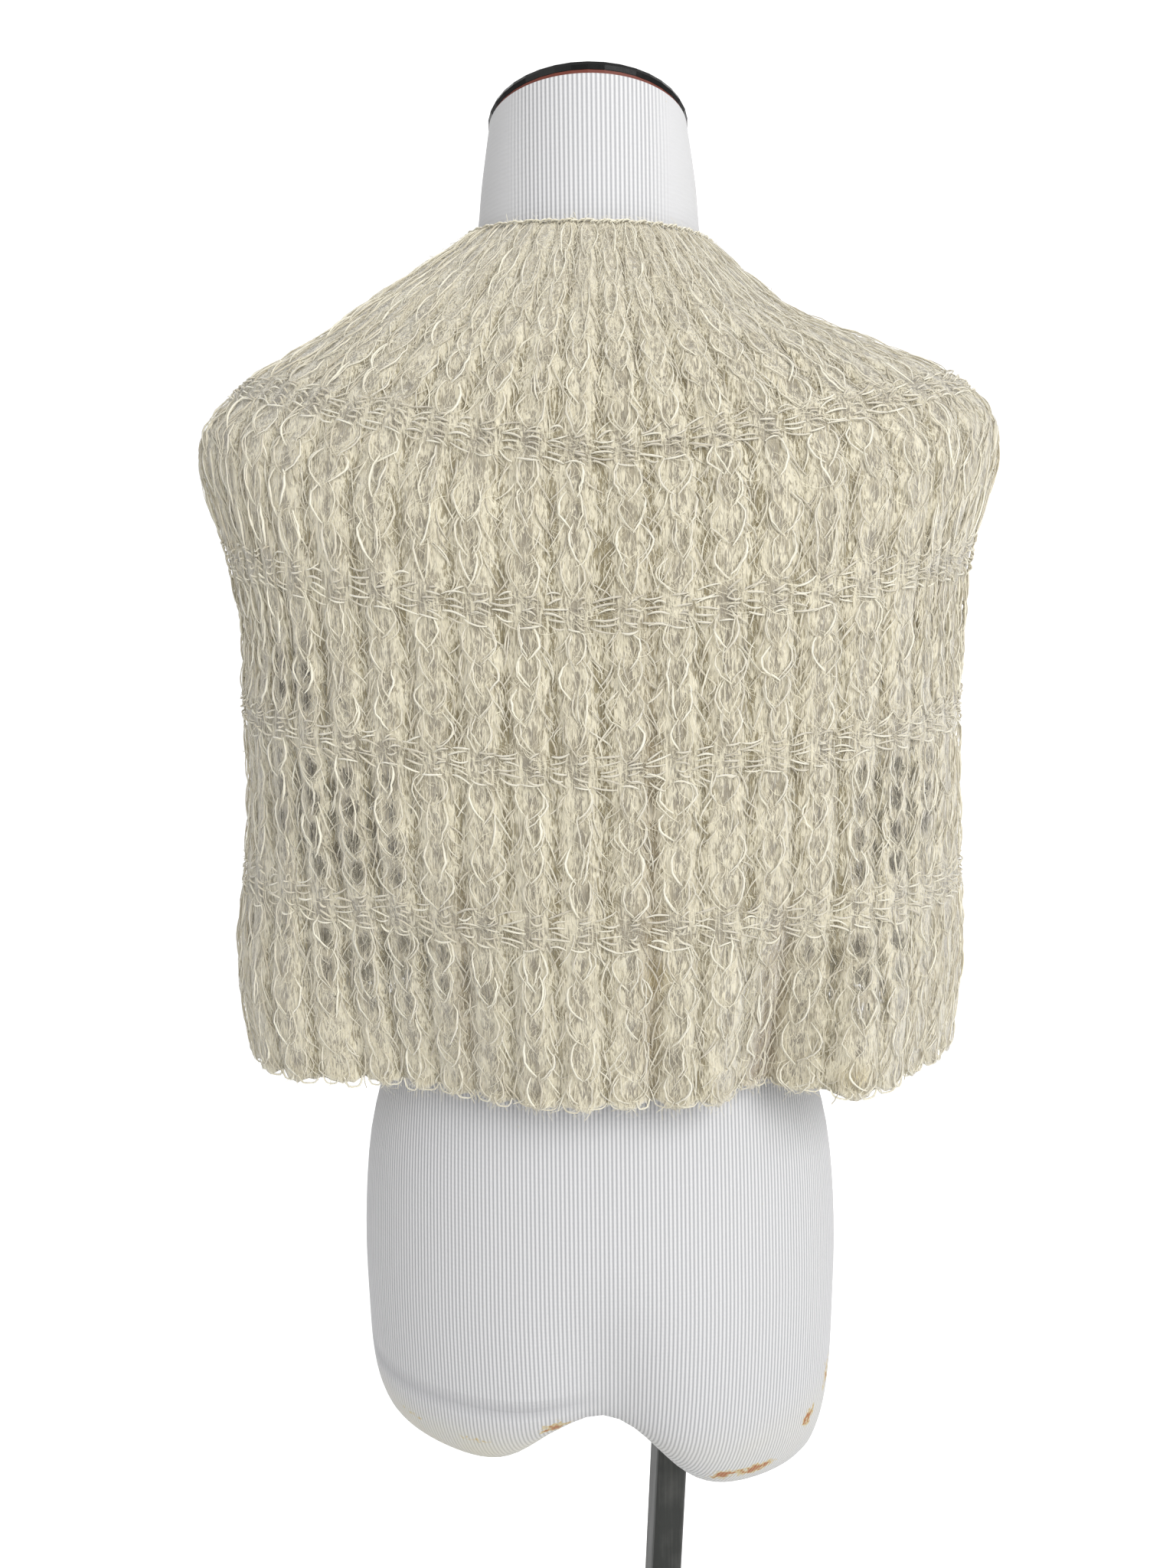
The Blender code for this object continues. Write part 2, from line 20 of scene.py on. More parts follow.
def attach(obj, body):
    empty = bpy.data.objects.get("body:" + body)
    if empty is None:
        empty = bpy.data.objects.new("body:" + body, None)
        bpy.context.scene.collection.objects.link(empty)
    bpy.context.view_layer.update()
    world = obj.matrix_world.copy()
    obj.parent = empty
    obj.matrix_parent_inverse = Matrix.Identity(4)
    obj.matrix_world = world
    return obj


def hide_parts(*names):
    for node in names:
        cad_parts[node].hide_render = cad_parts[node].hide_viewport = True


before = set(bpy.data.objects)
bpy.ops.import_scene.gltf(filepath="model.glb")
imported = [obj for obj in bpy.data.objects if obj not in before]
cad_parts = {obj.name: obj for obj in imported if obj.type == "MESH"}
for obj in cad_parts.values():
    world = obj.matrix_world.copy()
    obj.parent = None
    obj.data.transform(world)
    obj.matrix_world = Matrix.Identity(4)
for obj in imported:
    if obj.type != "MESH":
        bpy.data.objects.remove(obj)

LOG = logging.getLogger("jerkin")
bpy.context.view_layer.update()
BODY = "root"

Span = tuple[float, float]
Triple = tuple[float, float, float]


class Side(Enum):
    """Which panel of the jerkin."""

    BACK = "back"
    FRONT = "front"


class Ring(NamedTuple):
    """One row round the body: how far out and how high it lies at the back, sides and front."""

    name: str
    back_out: float
    back_up: float
    left_out: float
    left_up: float
    right_out: float
    right_up: float
    front_out: float
    front_up: float
    square: float
    drape: float


class Fold(NamedTuple):
    """One soft fold at the hem: a ridge if it goes out, a valley if it goes in."""

    name: str
    share: float
    half_width: float
    out: float
    top_row: float
    lean: float


class FormRing(NamedTuple):
    """One section of the form's lower half, level but for an arch in the middle and a lift at the left."""

    name: str
    up: float
    side_out: float
    back_out: float
    front_out: float
    square: float
    arch: float
    left_lift: float


class Patch(NamedTuple):
    """One soft-edged area of a panel, placed by share across and row down."""

    name: str
    share: float
    row: float
    half_share: float
    half_rows: float
    strength: float


class Spot(NamedTuple):
    """One soft-edged spot on the form, with how far it reaches along each axis."""

    place: Triple
    reach: Triple
    strength: float


class Ply(NamedTuple):
    """One of the strands in a leg of a loop: how often it shows, its girth, its stray and its dullness."""

    share: float
    girth: float
    spread: float
    dimming: float


class BandStrand(NamedTuple):
    """One kind of short level strand in the bands, placed and sized in rows and columns."""

    name: str
    down: float
    aside: float
    lean: float
    reach: Span
    tone: Span


class HaloLayer(NamedTuple):
    """One layer of the mohair halo: fibres on a square metre, and the size of a fibre."""

    density: float
    length: float
    width: float


KNIT_RINGS = (
    #    name          back out, up      left out, up      right out, up     front out, up   square drape
    Ring("neck edge", 0.0655, 1.0580, 0.0712, 1.0640, 0.0640, 1.0580, 0.0720, 1.0200, 2.00, 0.7),
    Ring("high yoke", 0.0890, 1.0160, 0.1165, 1.0350, 0.1110, 1.0200, 0.0960, 0.9700, 2.00, 1.0),
    Ring("low yoke", 0.1040, 0.9780, 0.1625, 1.0060, 0.1615, 1.0005, 0.1170, 0.9280, 2.05, 1.0),
    Ring("first band", 0.1110, 0.9390, 0.2035, 0.9820, 0.2070, 0.9810, 0.1290, 0.8860, 2.15, 1.0),
    Ring("shoulder end", 0.1160, 0.9000, 0.2255, 0.9500, 0.2260, 0.9500, 0.1340, 0.8480, 2.30, 1.0),
    Ring("second band", 0.1210, 0.8585, 0.2135, 0.8920, 0.2125, 0.8900, 0.1360, 0.8140, 2.40, 1.0),
    Ring("mid back", 0.1235, 0.8190, 0.2070, 0.8480, 0.2095, 0.8480, 0.1360, 0.7840, 2.40, 1.0),
    Ring("third band", 0.1255, 0.7795, 0.2085, 0.8060, 0.2085, 0.8050, 0.1350, 0.7520, 2.35, 1.0),
    Ring("waist", 0.1265, 0.7380, 0.2095, 0.7580, 0.2115, 0.7560, 0.1340, 0.7160, 2.25, 1.0),
    Ring("fourth band", 0.1265, 0.6950, 0.2155, 0.7070, 0.2150, 0.7050, 0.1330, 0.6810, 2.15, 1.0),
    Ring("low back", 0.1260, 0.6460, 0.2240, 0.6480, 0.2195, 0.6480, 0.1320, 0.6380, 2.10, 1.0),
    Ring("hem", 0.1250, 0.5970, 0.2200, 0.5925, 0.2155, 0.5925, 0.1300, 0.5920, 2.05, 1.0),
)

BACK_FOLDS = (
    #    name                share  half width  out   top row  lean
    Fold("right valley", 0.345, 0.085, -0.0250, 8.6, -0.03),
    Fold("right roll", 0.520, 0.095, 0.0110, 8.2, 0.00),
    Fold("middle valley", 0.085, 0.045, -0.0060, 9.0, 0.00),
    Fold("left hollow", -0.430, 0.200, -0.0230, 8.0, 0.02),
    Fold("left roll", -0.680, 0.090, 0.0050, 8.4, 0.00),
)
FRONT_FOLDS = (
    Fold("right valley", 0.400, 0.100, -0.0170, 8.4, 0.02),
    Fold("middle roll", -0.050, 0.120, 0.0050, 8.8, 0.00),
    Fold("left valley", -0.360, 0.110, -0.0150, 8.2, -0.02),
)

# Where the knit is so airy that the dark hollow behind it shows
BACK_AIRY = (
    #     name                share   row  half share, rows  strength
    Patch("left waist", -0.540, 7.70, 0.19, 1.25, 0.95),
    Patch("left hem", -0.490, 9.40, 0.21, 0.75, 0.92),
    Patch("right waist", 0.600, 7.90, 0.14, 1.05, 0.95),
    Patch("right hem", 0.530, 9.45, 0.13, 0.75, 0.90),
    Patch("right shoulder", 0.720, 6.40, 0.10, 0.50, 0.55),
    Patch("left arm", -0.660, 6.20, 0.12, 0.60, 0.60),
)
FRONT_AIRY = (
    Patch("left waist", -0.620, 8.20, 0.16, 1.20, 0.80),
    Patch("right hem", 0.560, 9.40, 0.16, 1.00, 0.80),
)

# Old stains in the wool, and yellow painted shade in two fold valleys near the hem
BACK_STAINS_AND_SHADE = (
    Patch("hem valley", 0.345, 10.20, 0.035, 0.90, 0.50),
    Patch("middle valley", 0.090, 9.90, 0.025, 0.70, 0.40),
    Patch("yellow spot", 0.100, 9.55, 0.020, 0.16, 0.80),
    Patch("yellow spot low", 0.500, 10.75, 0.030, 0.14, 0.60),
    Patch("centre column", 0.045, 4.60, 0.015, 1.40, 0.12),
)
# Painted shade in the fold valleys: umber on the haze, with a thinner halo over it
BACK_SHADES = (
    #     name                share   row  half share, rows  strength
    Patch("hem valley", 0.345, 10.10, 0.030, 1.10, 0.75),
    Patch("hem valley foot", 0.330, 10.80, 0.040, 0.40, 0.60),
    Patch("middle valley", 0.085, 9.20, 0.020, 2.20, 0.45),
    Patch("upper middle valley", 0.085, 6.00, 0.016, 1.60, 0.30),
    Patch("left valley", -0.280, 9.80, 0.020, 1.20, 0.40),
)
FRONT_STAINS = (
    Patch("hem spot", -0.300, 9.80, 0.050, 0.50, 0.50),
    Patch("right edge", 0.960, 8.60, 0.060, 2.20, 0.50),
)

FORM_UPPER_RINGS = (
    Ring("neck top", 0.0505, 1.1358, 0.0556, 1.1245, 0.0556, 1.1245, 0.0590, 1.1113, 2.00, 0.0),
    Ring("neck middle", 0.0555, 1.1000, 0.0608, 1.0930, 0.0608, 1.0930, 0.0610, 1.0790, 2.00, 0.3),
    Ring("neck low", 0.0600, 1.0660, 0.0642, 1.0660, 0.0632, 1.0640, 0.0645, 1.0440, 2.00, 0.6),
    Ring("neck root", 0.0640, 1.0480, 0.0700, 1.0510, 0.0660, 1.0470, 0.0690, 1.0200, 2.00, 1.0),
    Ring("shoulder root", 0.0780, 1.0150, 0.1050, 1.0265, 0.1050, 1.0190, 0.0870, 0.9750, 2.00, 1.0),
    Ring("mid shoulder", 0.0920, 0.9800, 0.1500, 1.0080, 0.1500, 1.0050, 0.1060, 0.9320, 2.00, 1.0),
    Ring("shoulder", 0.1020, 0.9440, 0.1850, 0.9900, 0.1850, 0.9905, 0.1190, 0.8920, 2.05, 1.0),
    Ring("shoulder end", 0.1060, 0.9180, 0.1965, 0.9680, 0.1965, 0.9680, 0.1250, 0.8650, 2.15, 1.0),
    Ring("arm plate top", 0.1090, 0.8900, 0.1930, 0.9400, 0.1930, 0.9400, 0.1300, 0.8400, 2.30, 1.0),
    Ring("arm plate", 0.1110, 0.8550, 0.1800, 0.8900, 0.1800, 0.8900, 0.1340, 0.8150, 2.35, 1.0),
    Ring("chest", 0.1090, 0.8150, 0.1650, 0.8350, 0.1650, 0.8350, 0.1320, 0.7900, 2.30, 1.0),
)

FORM_LOWER_RINGS = (
    #        name          up   side out  back    front  square arch  left lift
    FormRing("ribs", 0.7600, 0.1400, 0.0970, 0.1120, 2.20, 0.000, 0.000),
    FormRing("waist", 0.6650, 0.1190, 0.0840, 0.0920, 2.15, 0.000, 0.000),
    FormRing("high hip", 0.5900, 0.1320, 0.0970, 0.0970, 2.15, 0.000, 0.000),
    FormRing("hip", 0.5300, 0.1470, 0.1080, 0.1010, 2.15, 0.000, 0.000),
    FormRing("full hip", 0.4700, 0.1525, 0.1150, 0.1020, 2.20, 0.000, 0.000),
    FormRing("seat", 0.4150, 0.1525, 0.1140, 0.1000, 2.25, 0.004, 0.002),
    FormRing("low seat", 0.3700, 0.1515, 0.1065, 0.0950, 2.25, 0.014, 0.006),
    FormRing("lower edge", 0.3380, 0.1475, 0.0935, 0.0860, 2.20, 0.031, 0.010),
    FormRing("edge turn", 0.3190, 0.1390, 0.0775, 0.0740, 2.10, 0.047, 0.012),
    FormRing("underside", 0.3120, 0.1120, 0.0570, 0.0560, 2.05, 0.060, 0.006),
    FormRing("hollow", 0.3380, 0.0850, 0.0400, 0.0400, 2.00, 0.020, 0.000),
)

# Rust and old glue along the form's lower edge, at the back
RUST_SPOTS = (
    Spot((0.0327, 0.0970, 0.3770), (0.0100, 0.0250, 0.0060), 0.95),
    Spot((-0.0700, 0.0820, 0.3320), (0.0100, 0.0250, 0.0050), 0.95),
    Spot((-0.0900, 0.0740, 0.3300), (0.0150, 0.0250, 0.0050), 0.95),
    Spot((-0.1255, 0.0590, 0.3527), (0.0055, 0.0200, 0.0070), 0.85),
    Spot((-0.1398, 0.0412, 0.3699), (0.0040, 0.0200, 0.0090), 0.75),
    Spot((0.0814, 0.0924, 0.3650), (0.0100, 0.0200, 0.0030), 0.50),
    Spot((0.1211, 0.0716, 0.3672), (0.0120, 0.0200, 0.0030), 0.50),
)

BACK_PLIES = (
    # share girth spread dimming
    Ply(0.92, 0.92, 0.02, 0.00),
    Ply(0.75, 0.58, 0.05, 0.15),
    Ply(0.45, 0.42, 0.09, 0.35),
)
FRONT_PLIES = (
    Ply(0.96, 0.95, 0.02, 0.00),
    Ply(0.70, 0.58, 0.05, 0.15),
)

# Each kind in a band's stack lies once at every level of the stack, and the foot once under it
BAND_STACK = (
    #          name      down aside lean  reach         tone
    BandStrand("beside", 0.38, 0.56, 0.07, (0.13, 0.25), (0.1, 1.0)),
    BandStrand("under", 0.34, 0.10, 0.05, (0.06, 0.18), (0.0, 0.60)),
)
BAND_FOOT = BandStrand("foot", 0.205, 0.02, 0.0, (0.15, 0.24), (0.65, 1.0))

BACK_HALO = (
    #         density   length  width
    HaloLayer(128000.0, 0.0115, 0.00018),
    HaloLayer(58000.0, 0.0080, 0.00024),
)
FRONT_HALO = (HaloLayer(52000.0, 0.0120, 0.00030),)


def read_table(table: np.ndarray, rows: np.ndarray) -> np.ndarray:
    """Read every column of a table at any rows, on smooth curves through its values.

    Args:
        table: One line for each row, one column for each size.
        rows: Places down the table, which need not be whole.

    Returns:
        One line of sizes for each place.
    """
    last = len(table) - 1
    rows = np.clip(rows, 0.0, last)
    index = np.minimum(rows.astype(int), last - 1)
    part = (rows - index).reshape(-1, *[1] * (table.ndim - 1))
    before, start, end, after = (table[np.clip(index + step, 0, last)] for step in (-1, 0, 1, 2))
    slope_start = (end - before) / 2.0
    slope_end = (after - start) / 2.0
    gap = end - start
    square = 3.0 * gap - 2.0 * slope_start - slope_end
    cube = slope_start + slope_end - 2.0 * gap
    return start + part * (slope_start + part * (square + part * cube))


def ring_points(sizes: np.ndarray, angle: np.ndarray, sag_power: float) -> np.ndarray:
    """Place points on rings, with the angle 0 at the back and 90 degrees at the wearer's right.

    Args:
        sizes: The rings' sizes in the order of the Ring table, without the name.
        angle: The angle of each point.
        sag_power: How fast a row climbs from the middle to the side.

    Returns:
        The points, one for each angle.
    """
    back_out, back_up, left_out, left_up, right_out, right_up, front_out, front_up, square, drape = (
        sizes[..., column] for column in range(sizes.shape[-1])
    )
    across, along = np.sin(angle), np.cos(angle)
    side_out = np.where(across >= 0.0, right_out, left_out)
    side_up = np.where(across >= 0.0, right_up, left_up)
    end_out = np.where(along >= 0.0, back_out, -front_out)
    end_up = np.where(along >= 0.0, back_up, front_up)
    x = -np.sign(across) * side_out * np.abs(across) ** (2.0 / square)
    y = end_out * np.abs(along) ** (2.0 / square)
    sag = drape * (1.0 - np.abs(across) ** sag_power) + (1.0 - drape) * np.abs(along)
    return np.stack([x, y, side_up + (end_up - side_up) * sag], axis=-1)


def hump(distance: np.ndarray) -> np.ndarray:
    """A smooth hump that is 1 at its middle and 0 from a distance of 1."""
    return np.where(np.abs(distance) < 1.0, 0.5 + 0.5 * np.cos(math.pi * np.clip(distance, -1.0, 1.0)), 0.0)


def unit(vectors: np.ndarray) -> np.ndarray:
    """Scale vectors to a length of 1."""
    return vectors / np.maximum(np.linalg.norm(vectors, axis=-1, keepdims=True), 1e-12)


@dataclass(frozen=True)
class Knit:
    """The sizes that both panels of the jerkin share."""

    wall: float = 0.0020
    columns: int = 22
    rib_height: float = 0.0025
    neck_rib_share: float = 0.45
    neck_rib_rows: float = 2.0
    band_fill: float = 0.0015
    band_rib_share: float = 0.30
    band_reach: float = 0.22
    bands: tuple[float, ...] = (3.0, 5.0, 7.0, 9.0)
    loops_between: tuple[int, ...] = (7, 4, 4, 4, 5)
    last_row: float = 11.0
    seam_gap: float = 0.0003
    row_sag: float = 1.25
    row_length: float = 0.042
    armhole_top: float = 3.75
    armhole_foot: float = 7.30
    armhole_cut: float = 0.155
    armhole_gather: float = 0.62
    armhole_round: float = 0.55
    fold_growth: float = 1.5

    def column_phase(self, share: np.ndarray) -> np.ndarray:
        """Place across the panel in columns, whole numbers in the valleys and halves on the ribs."""
        return (share + 1.0) / 2.0 * self.columns

    def share_at(self, column: np.ndarray) -> np.ndarray:
        """The share across the panel of a place given in columns."""
        return column * 2.0 / self.columns - 1.0

    def band_at(self, row: np.ndarray) -> np.ndarray:
        """How fully a tight band crosses the knit at a row, from 0 to 1."""
        near = [hump((row - band) / (2.0 * self.band_reach)) for band in self.bands]
        return np.max(near, axis=0)

    def loop_edges(self) -> list[np.ndarray]:
        """List the rows where a column's loops begin and end, one line for each stretch between bands."""
        starts = [0.12] + [band + self.band_reach for band in self.bands]
        ends = [band - self.band_reach for band in self.bands] + [self.last_row - 0.05]
        stretches = zip(starts, ends, self.loops_between)
        return [np.linspace(start, end, count + 1) for start, end, count in stretches]

    def loop_spans(self) -> np.ndarray:
        """List the first and last row of each loop of a column, from the neck to the hem."""
        return np.concatenate([np.stack([edges[:-1], edges[1:]], axis=1) for edges in self.loop_edges()])

    def loop_phase(self, row: np.ndarray) -> np.ndarray:
        """How far down its loop a row lies, from 0 at its top to 1 at its foot, and 0 in a band."""
        edges = self.loop_edges()
        counts, first = [], 0
        for line in edges:
            counts.append(first + np.arange(len(line)))
            first += len(line) - 1
        return np.interp(row, np.concatenate(edges), np.concatenate(counts)) % 1.0

    def drawn_in(self, share: np.ndarray, row: np.ndarray) -> np.ndarray:
        """Move the outer part of a panel in from the side where the armhole takes its place."""
        part = np.clip((row - self.armhole_top) / (self.armhole_foot - self.armhole_top), 0.0, 1.0)
        cut = self.armhole_cut * np.abs(np.sin(math.pi * part)) ** self.armhole_round
        beyond = np.maximum(np.abs(share) - self.armhole_gather, 0.0)
        return share - np.sign(share) * beyond * cut / (1.0 - self.armhole_gather)


@dataclass
class PanelSurface:
    """The plain inside of one panel as a dense net, from which any place on the knit is read."""

    side: Side
    knit: Knit
    folds: tuple[Fold, ...]
    net_rows: int = 221
    net_shares: int = 241
    ring_steps: int = 36
    upward_lean: float = 0.02
    net: np.ndarray = field(init=False)
    facing: np.ndarray = field(init=False)

    def __post_init__(self) -> None:
        """Work the net out from the rings and folds."""
        rows = np.linspace(0.0, self.knit.last_row, self.net_rows)
        sizes = read_table(np.array([ring[1:] for ring in KNIT_RINGS]), rows)
        half = self.net_shares // 2 + 1
        left = self._half_net(sizes, rows, -1.0, half)
        right = self._half_net(sizes, rows, 1.0, half)
        self.net = np.concatenate([left[:, :0:-1], right], axis=1)
        self.facing = self._normals()

    def _half_net(self, sizes: np.ndarray, rows: np.ndarray, turn: float, count: int) -> np.ndarray:
        """Lay the net from the panel's middle to one side seam.

        Args:
            sizes: The rings' sizes at each row.
            rows: The rows.
            turn: 1 towards the wearer's right, -1 towards the left.
            count: How many places there are from the middle to the seam.

        Returns:
            The places, row by row.
        """
        back = self.side is Side.BACK
        steps = np.linspace(0.0, math.pi / 2.0, self.ring_steps + 1)
        angles = turn * steps if back else math.pi - turn * steps
        points = ring_points(sizes[:, None, :], angles[None, :], self.knit.row_sag)
        lengths = np.linalg.norm(np.diff(points, axis=1), axis=2)
        reach = np.concatenate([np.zeros((len(rows), 1)), np.cumsum(lengths, axis=1)], axis=1)
        shares = np.linspace(0.0, 1.0, count)
        turned = np.array([np.interp(shares, line / line[-1], steps) for line in reach])
        angle = turn * turned if back else math.pi - turn * turned
        places = ring_points(sizes[:, None, :], angle, self.knit.row_sag)
        across, along = np.sin(angle), np.cos(angle)
        outward = np.stack([-across * sizes[:, 0:1], along * sizes[:, 2:3], 0.0 * angle], axis=-1)
        out = self._fold_out(turn * shares[None, :], rows[:, None])
        return places + unit(outward) * out[..., None]

    def _fold_out(self, share: np.ndarray, row: np.ndarray) -> np.ndarray:
        """How far the folds move the wall out at places given by share and row."""
        total = np.zeros(np.broadcast(share, row).shape)
        for fold in self.folds:
            depth = np.clip((row - fold.top_row) / (self.knit.last_row - fold.top_row), 0.0, 1.0)
            middle = fold.share + fold.lean * (depth - 1.0)
            growth = np.sin(depth * math.pi / 2.0) ** self.knit.fold_growth
            total = total + fold.out * growth * hump((share - middle) / (2.0 * fold.half_width))
        return total

    def _normals(self) -> np.ndarray:
        """Find which way the wall faces at each place of the net, in the seam's plane at a seam."""
        across = np.gradient(self.net, axis=1)
        down = np.gradient(self.net, axis=0)
        normal = np.cross(across, down)
        upward = np.full((*self.net.shape[:2], 1), self.upward_lean)
        lean = np.concatenate([self.net[..., :2], upward], axis=-1)
        normal *= np.where((normal * lean).sum(axis=-1, keepdims=True) < 0.0, -1.0, 1.0)
        normal[:, (0, -1), 1] = 0.0
        return unit(normal)

    def _read(self, net: np.ndarray, share: np.ndarray, row: np.ndarray) -> np.ndarray:
        """Read a net between its places."""
        across = np.clip((share + 1.0) / 2.0, 0.0, 1.0) * (self.net_shares - 1)
        down = np.clip(row / self.knit.last_row, 0.0, 1.0) * (self.net_rows - 1)
        j = np.minimum(across.astype(int), self.net_shares - 2)
        i = np.minimum(down.astype(int), self.net_rows - 2)
        a, b = (across - j)[..., None], (down - i)[..., None]
        upper = net[i, j] * (1.0 - a) + net[i, j + 1] * a
        lower = net[i + 1, j] * (1.0 - a) + net[i + 1, j + 1] * a
        return upper * (1.0 - b) + lower * b

    def place(self, share: np.ndarray, row: np.ndarray, off: np.ndarray) -> np.ndarray:
        """Place points a distance off the plain inside of the panel.

        Args:
            share: Places across the panel, -1 at the wearer's left seam and 1 at the right.
            row: Rows of the knit, which hang on below the hem past the last one.
            off: How far each point stands off the plain inside.

        Returns:
            The points.
        """
        share, row, off = np.broadcast_arrays(share, row, off)
        true_share = self.knit.drawn_in(share, row)
        point = self._read(self.net, true_share, row)
        point = point + unit(self._read(self.facing, true_share, row)) * off[..., None]
        half_gap = self.knit.seam_gap / 2.0 * (1.0 if self.side is Side.BACK else -1.0)
        below = np.maximum(row - self.knit.last_row, 0.0) * self.knit.row_length
        above = np.minimum(row, 0.0) * self.knit.row_length
        return point + np.stack([0.0 * below, half_gap + 0.0 * below, -below - above], axis=-1)

    def web_off(self, share: np.ndarray, row: np.ndarray) -> np.ndarray:
        """How far the outside of the knit stands off its plain inside."""
        crest = np.sin(math.pi * (self.knit.column_phase(share) % 1.0))
        grown = np.clip(row / self.knit.neck_rib_rows, 0.0, 1.0)
        grown = self.knit.neck_rib_share + (1.0 - self.knit.neck_rib_share) * grown
        band = self.knit.band_at(row)
        height = self.knit.rib_height * grown * (1.0 - (1.0 - self.knit.band_rib_share) * band)
        return self.knit.wall + height * crest + self.knit.band_fill * band

    def width_at(self, row: float) -> float:
        """Measure along the cloth from seam to seam at a row."""
        line = self.net[int(round(row / self.knit.last_row * (self.net_rows - 1)))]
        return float(np.linalg.norm(np.diff(line, axis=0), axis=1).sum())

    def middle_length(self) -> float:
        """Measure down the middle of the panel from the neck edge to the hem."""
        line = self.net[:, self.net_shares // 2]
        return float(np.linalg.norm(np.diff(line, axis=0), axis=1).sum())

    def area(self) -> float:
        """Measure the panel's plain inside."""
        across, down = np.diff(self.net, axis=1)[:-1], np.diff(self.net, axis=0)[:, :-1]
        return float(np.linalg.norm(np.cross(across, down), axis=-1).sum())


def patch_strength(patches: tuple[Patch, ...], share: np.ndarray, row: np.ndarray) -> np.ndarray:
    """Add up soft-edged patches at places on a panel, up to 1."""
    total = np.zeros(np.broadcast(share, row).shape)
    for patch in patches:
        distance = np.hypot((share - patch.share) / patch.half_share, (row - patch.row) / patch.half_rows)
        total = total + patch.strength * np.clip(1.5 - distance, 0.0, 1.0)
    return np.clip(total, 0.0, 1.0)


# A Mix node lists the sockets of its other types before those of its colours
MIX_SHARE = 0
MIX_COLOURS = (6, 7)
MIX_RESULT = 2


class Sockets:
    """A node tree with short ways to add nodes and join them."""

    def __init__(self, tree: bpy.types.NodeTree) -> None:
        """Keep the tree.

        Args:
            tree: The tree that nodes are added to.
        """
        self.tree = tree

    def add(self, kind: str, **settings: object) -> bpy.types.Node:
        """Add a node.

        Args:
            kind: The node's type.
            settings: Properties of the node, such as its operation.

        Returns:
            The new node.
        """
        node = self.tree.nodes.new(kind)
        for name, value in settings.items():
            setattr(node, name, value)
        return node

    @staticmethod
    def pick(sockets: bpy.types.bpy_prop_collection, name: str) -> bpy.types.NodeSocket:
        """Find the first open socket of a name, or the first open one where the name is empty."""
        return next(socket for socket in sockets if socket.enabled and (not name or socket.name == name))

    def join(self, socket: bpy.types.NodeSocket, value: object) -> None:
        """Drive an input by a socket or a node's first open output, or set it to a plain value."""
        if isinstance(value, bpy.types.Node):
            value = self.pick(value.outputs, "")
        if isinstance(value, bpy.types.NodeSocket):
            self.tree.links.new(value, socket)
        else:
            socket.default_value = value

    def feed(self, node: bpy.types.Node, **values: object) -> bpy.types.Node:
        """Set or link a node's inputs by name, with _ for a space.

        Args:
            node: The node.
            values: For each input a value, or the socket or node that drives it.

        Returns:
            The same node.
        """
        for name, value in values.items():
            self.join(self.pick(node.inputs, name.replace("_", " ")), value)
        return node

    def math(self, operation: str, *values: object, clamp: bool = False) -> bpy.types.Node:
        """Add a Math node.

        Args:
            operation: What it does.
            values: Numbers, sockets or nodes, in the order of its inputs.
            clamp: Whether the result is kept from 0 to 1.

        Returns:
            The new node.
        """
        node = self.add("ShaderNodeMath", operation=operation, use_clamp=clamp)
        for socket, value in zip(node.inputs, values):
            self.join(socket, value)
        return node

    def blend(self, share: object, first: object, second: object) -> bpy.types.NodeSocket:
        """Mix two colours.

        Args:
            share: How much of the second colour shows, a number, socket or node.
            first: A colour as three numbers, or a socket.
            second: A colour as three numbers, or a socket.

        Returns:
            The socket of the mixed colour.
        """
        node = self.add("ShaderNodeMix", data_type="RGBA")
        self.join(node.inputs[MIX_SHARE], share)
        for place, colour in zip(MIX_COLOURS, (first, second)):
            plain = not isinstance(colour, bpy.types.NodeSocket)
            self.join(node.inputs[place], (*colour, 1.0) if plain else colour)
        return node.outputs[MIX_RESULT]

    def noise(self, scale: Triple, detail: float = 2.0, seed: float = 0.0,
              swirl: float = 0.0) -> bpy.types.NodeSocket:
        """Read soft noise at the piece's own coordinates.

        Args:
            scale: Lumps in a metre along X, Y and Z.
            detail: How many finer layers there are.
            seed: Moves the pattern, so that two of them differ.
            swirl: How far the pattern is bent.

        Returns:
            The socket of the noise, from 0 to 1.
        """
        place = self.add("ShaderNodeTexCoord").outputs["Object"]
        mapped = self.feed(self.add("ShaderNodeMapping"), Vector=place, Scale=scale, Location=(seed,) * 3)
        texture = self.add("ShaderNodeTexNoise")
        return self.feed(texture, Vector=mapped, Scale=1.0, Detail=detail, Distortion=swirl).outputs[0]

    def bump(self, strength: float, distance: float, height: object) -> bpy.types.Node:
        """Raise and sink the surface by a height, as deep as the distance at full strength."""
        return self.feed(self.add("ShaderNodeBump"), Strength=strength, Distance=distance, Height=height)

    def attribute(self, name: str) -> bpy.types.NodeSocket:
        """Read a number that the mesh keeps at its points, for a material."""
        return self.add("ShaderNodeAttribute", attribute_name=name).outputs["Fac"]

    def named(self, name: str, kind: str = "FLOAT") -> bpy.types.NodeSocket:
        """Read a number or a direction that the mesh keeps at its points, for a modifier."""
        node = self.feed(self.add("GeometryNodeInputNamedAttribute", data_type=kind), Name=name)
        return self.pick(node.outputs, "Attribute")


Finish = tuple[bpy.types.Material, Sockets, bpy.types.Node]


def new_finish(name: str, roughness: float, metallic: float = 0.0) -> Finish:
    """Start a material.

    Args:
        name: The finish, in a maker's words.
        roughness: From 0, a mirror, to 1, chalk.
        metallic: 1 for bare metal.

    Returns:
        The material, its tree and its main shader.
    """
    material = bpy.data.materials.new(name)
    material.use_nodes = True
    sockets = Sockets(material.node_tree)
    shader = material.node_tree.nodes["Principled BSDF"]
    sockets.feed(shader, Roughness=roughness, Metallic=metallic)
    return material, sockets, shader


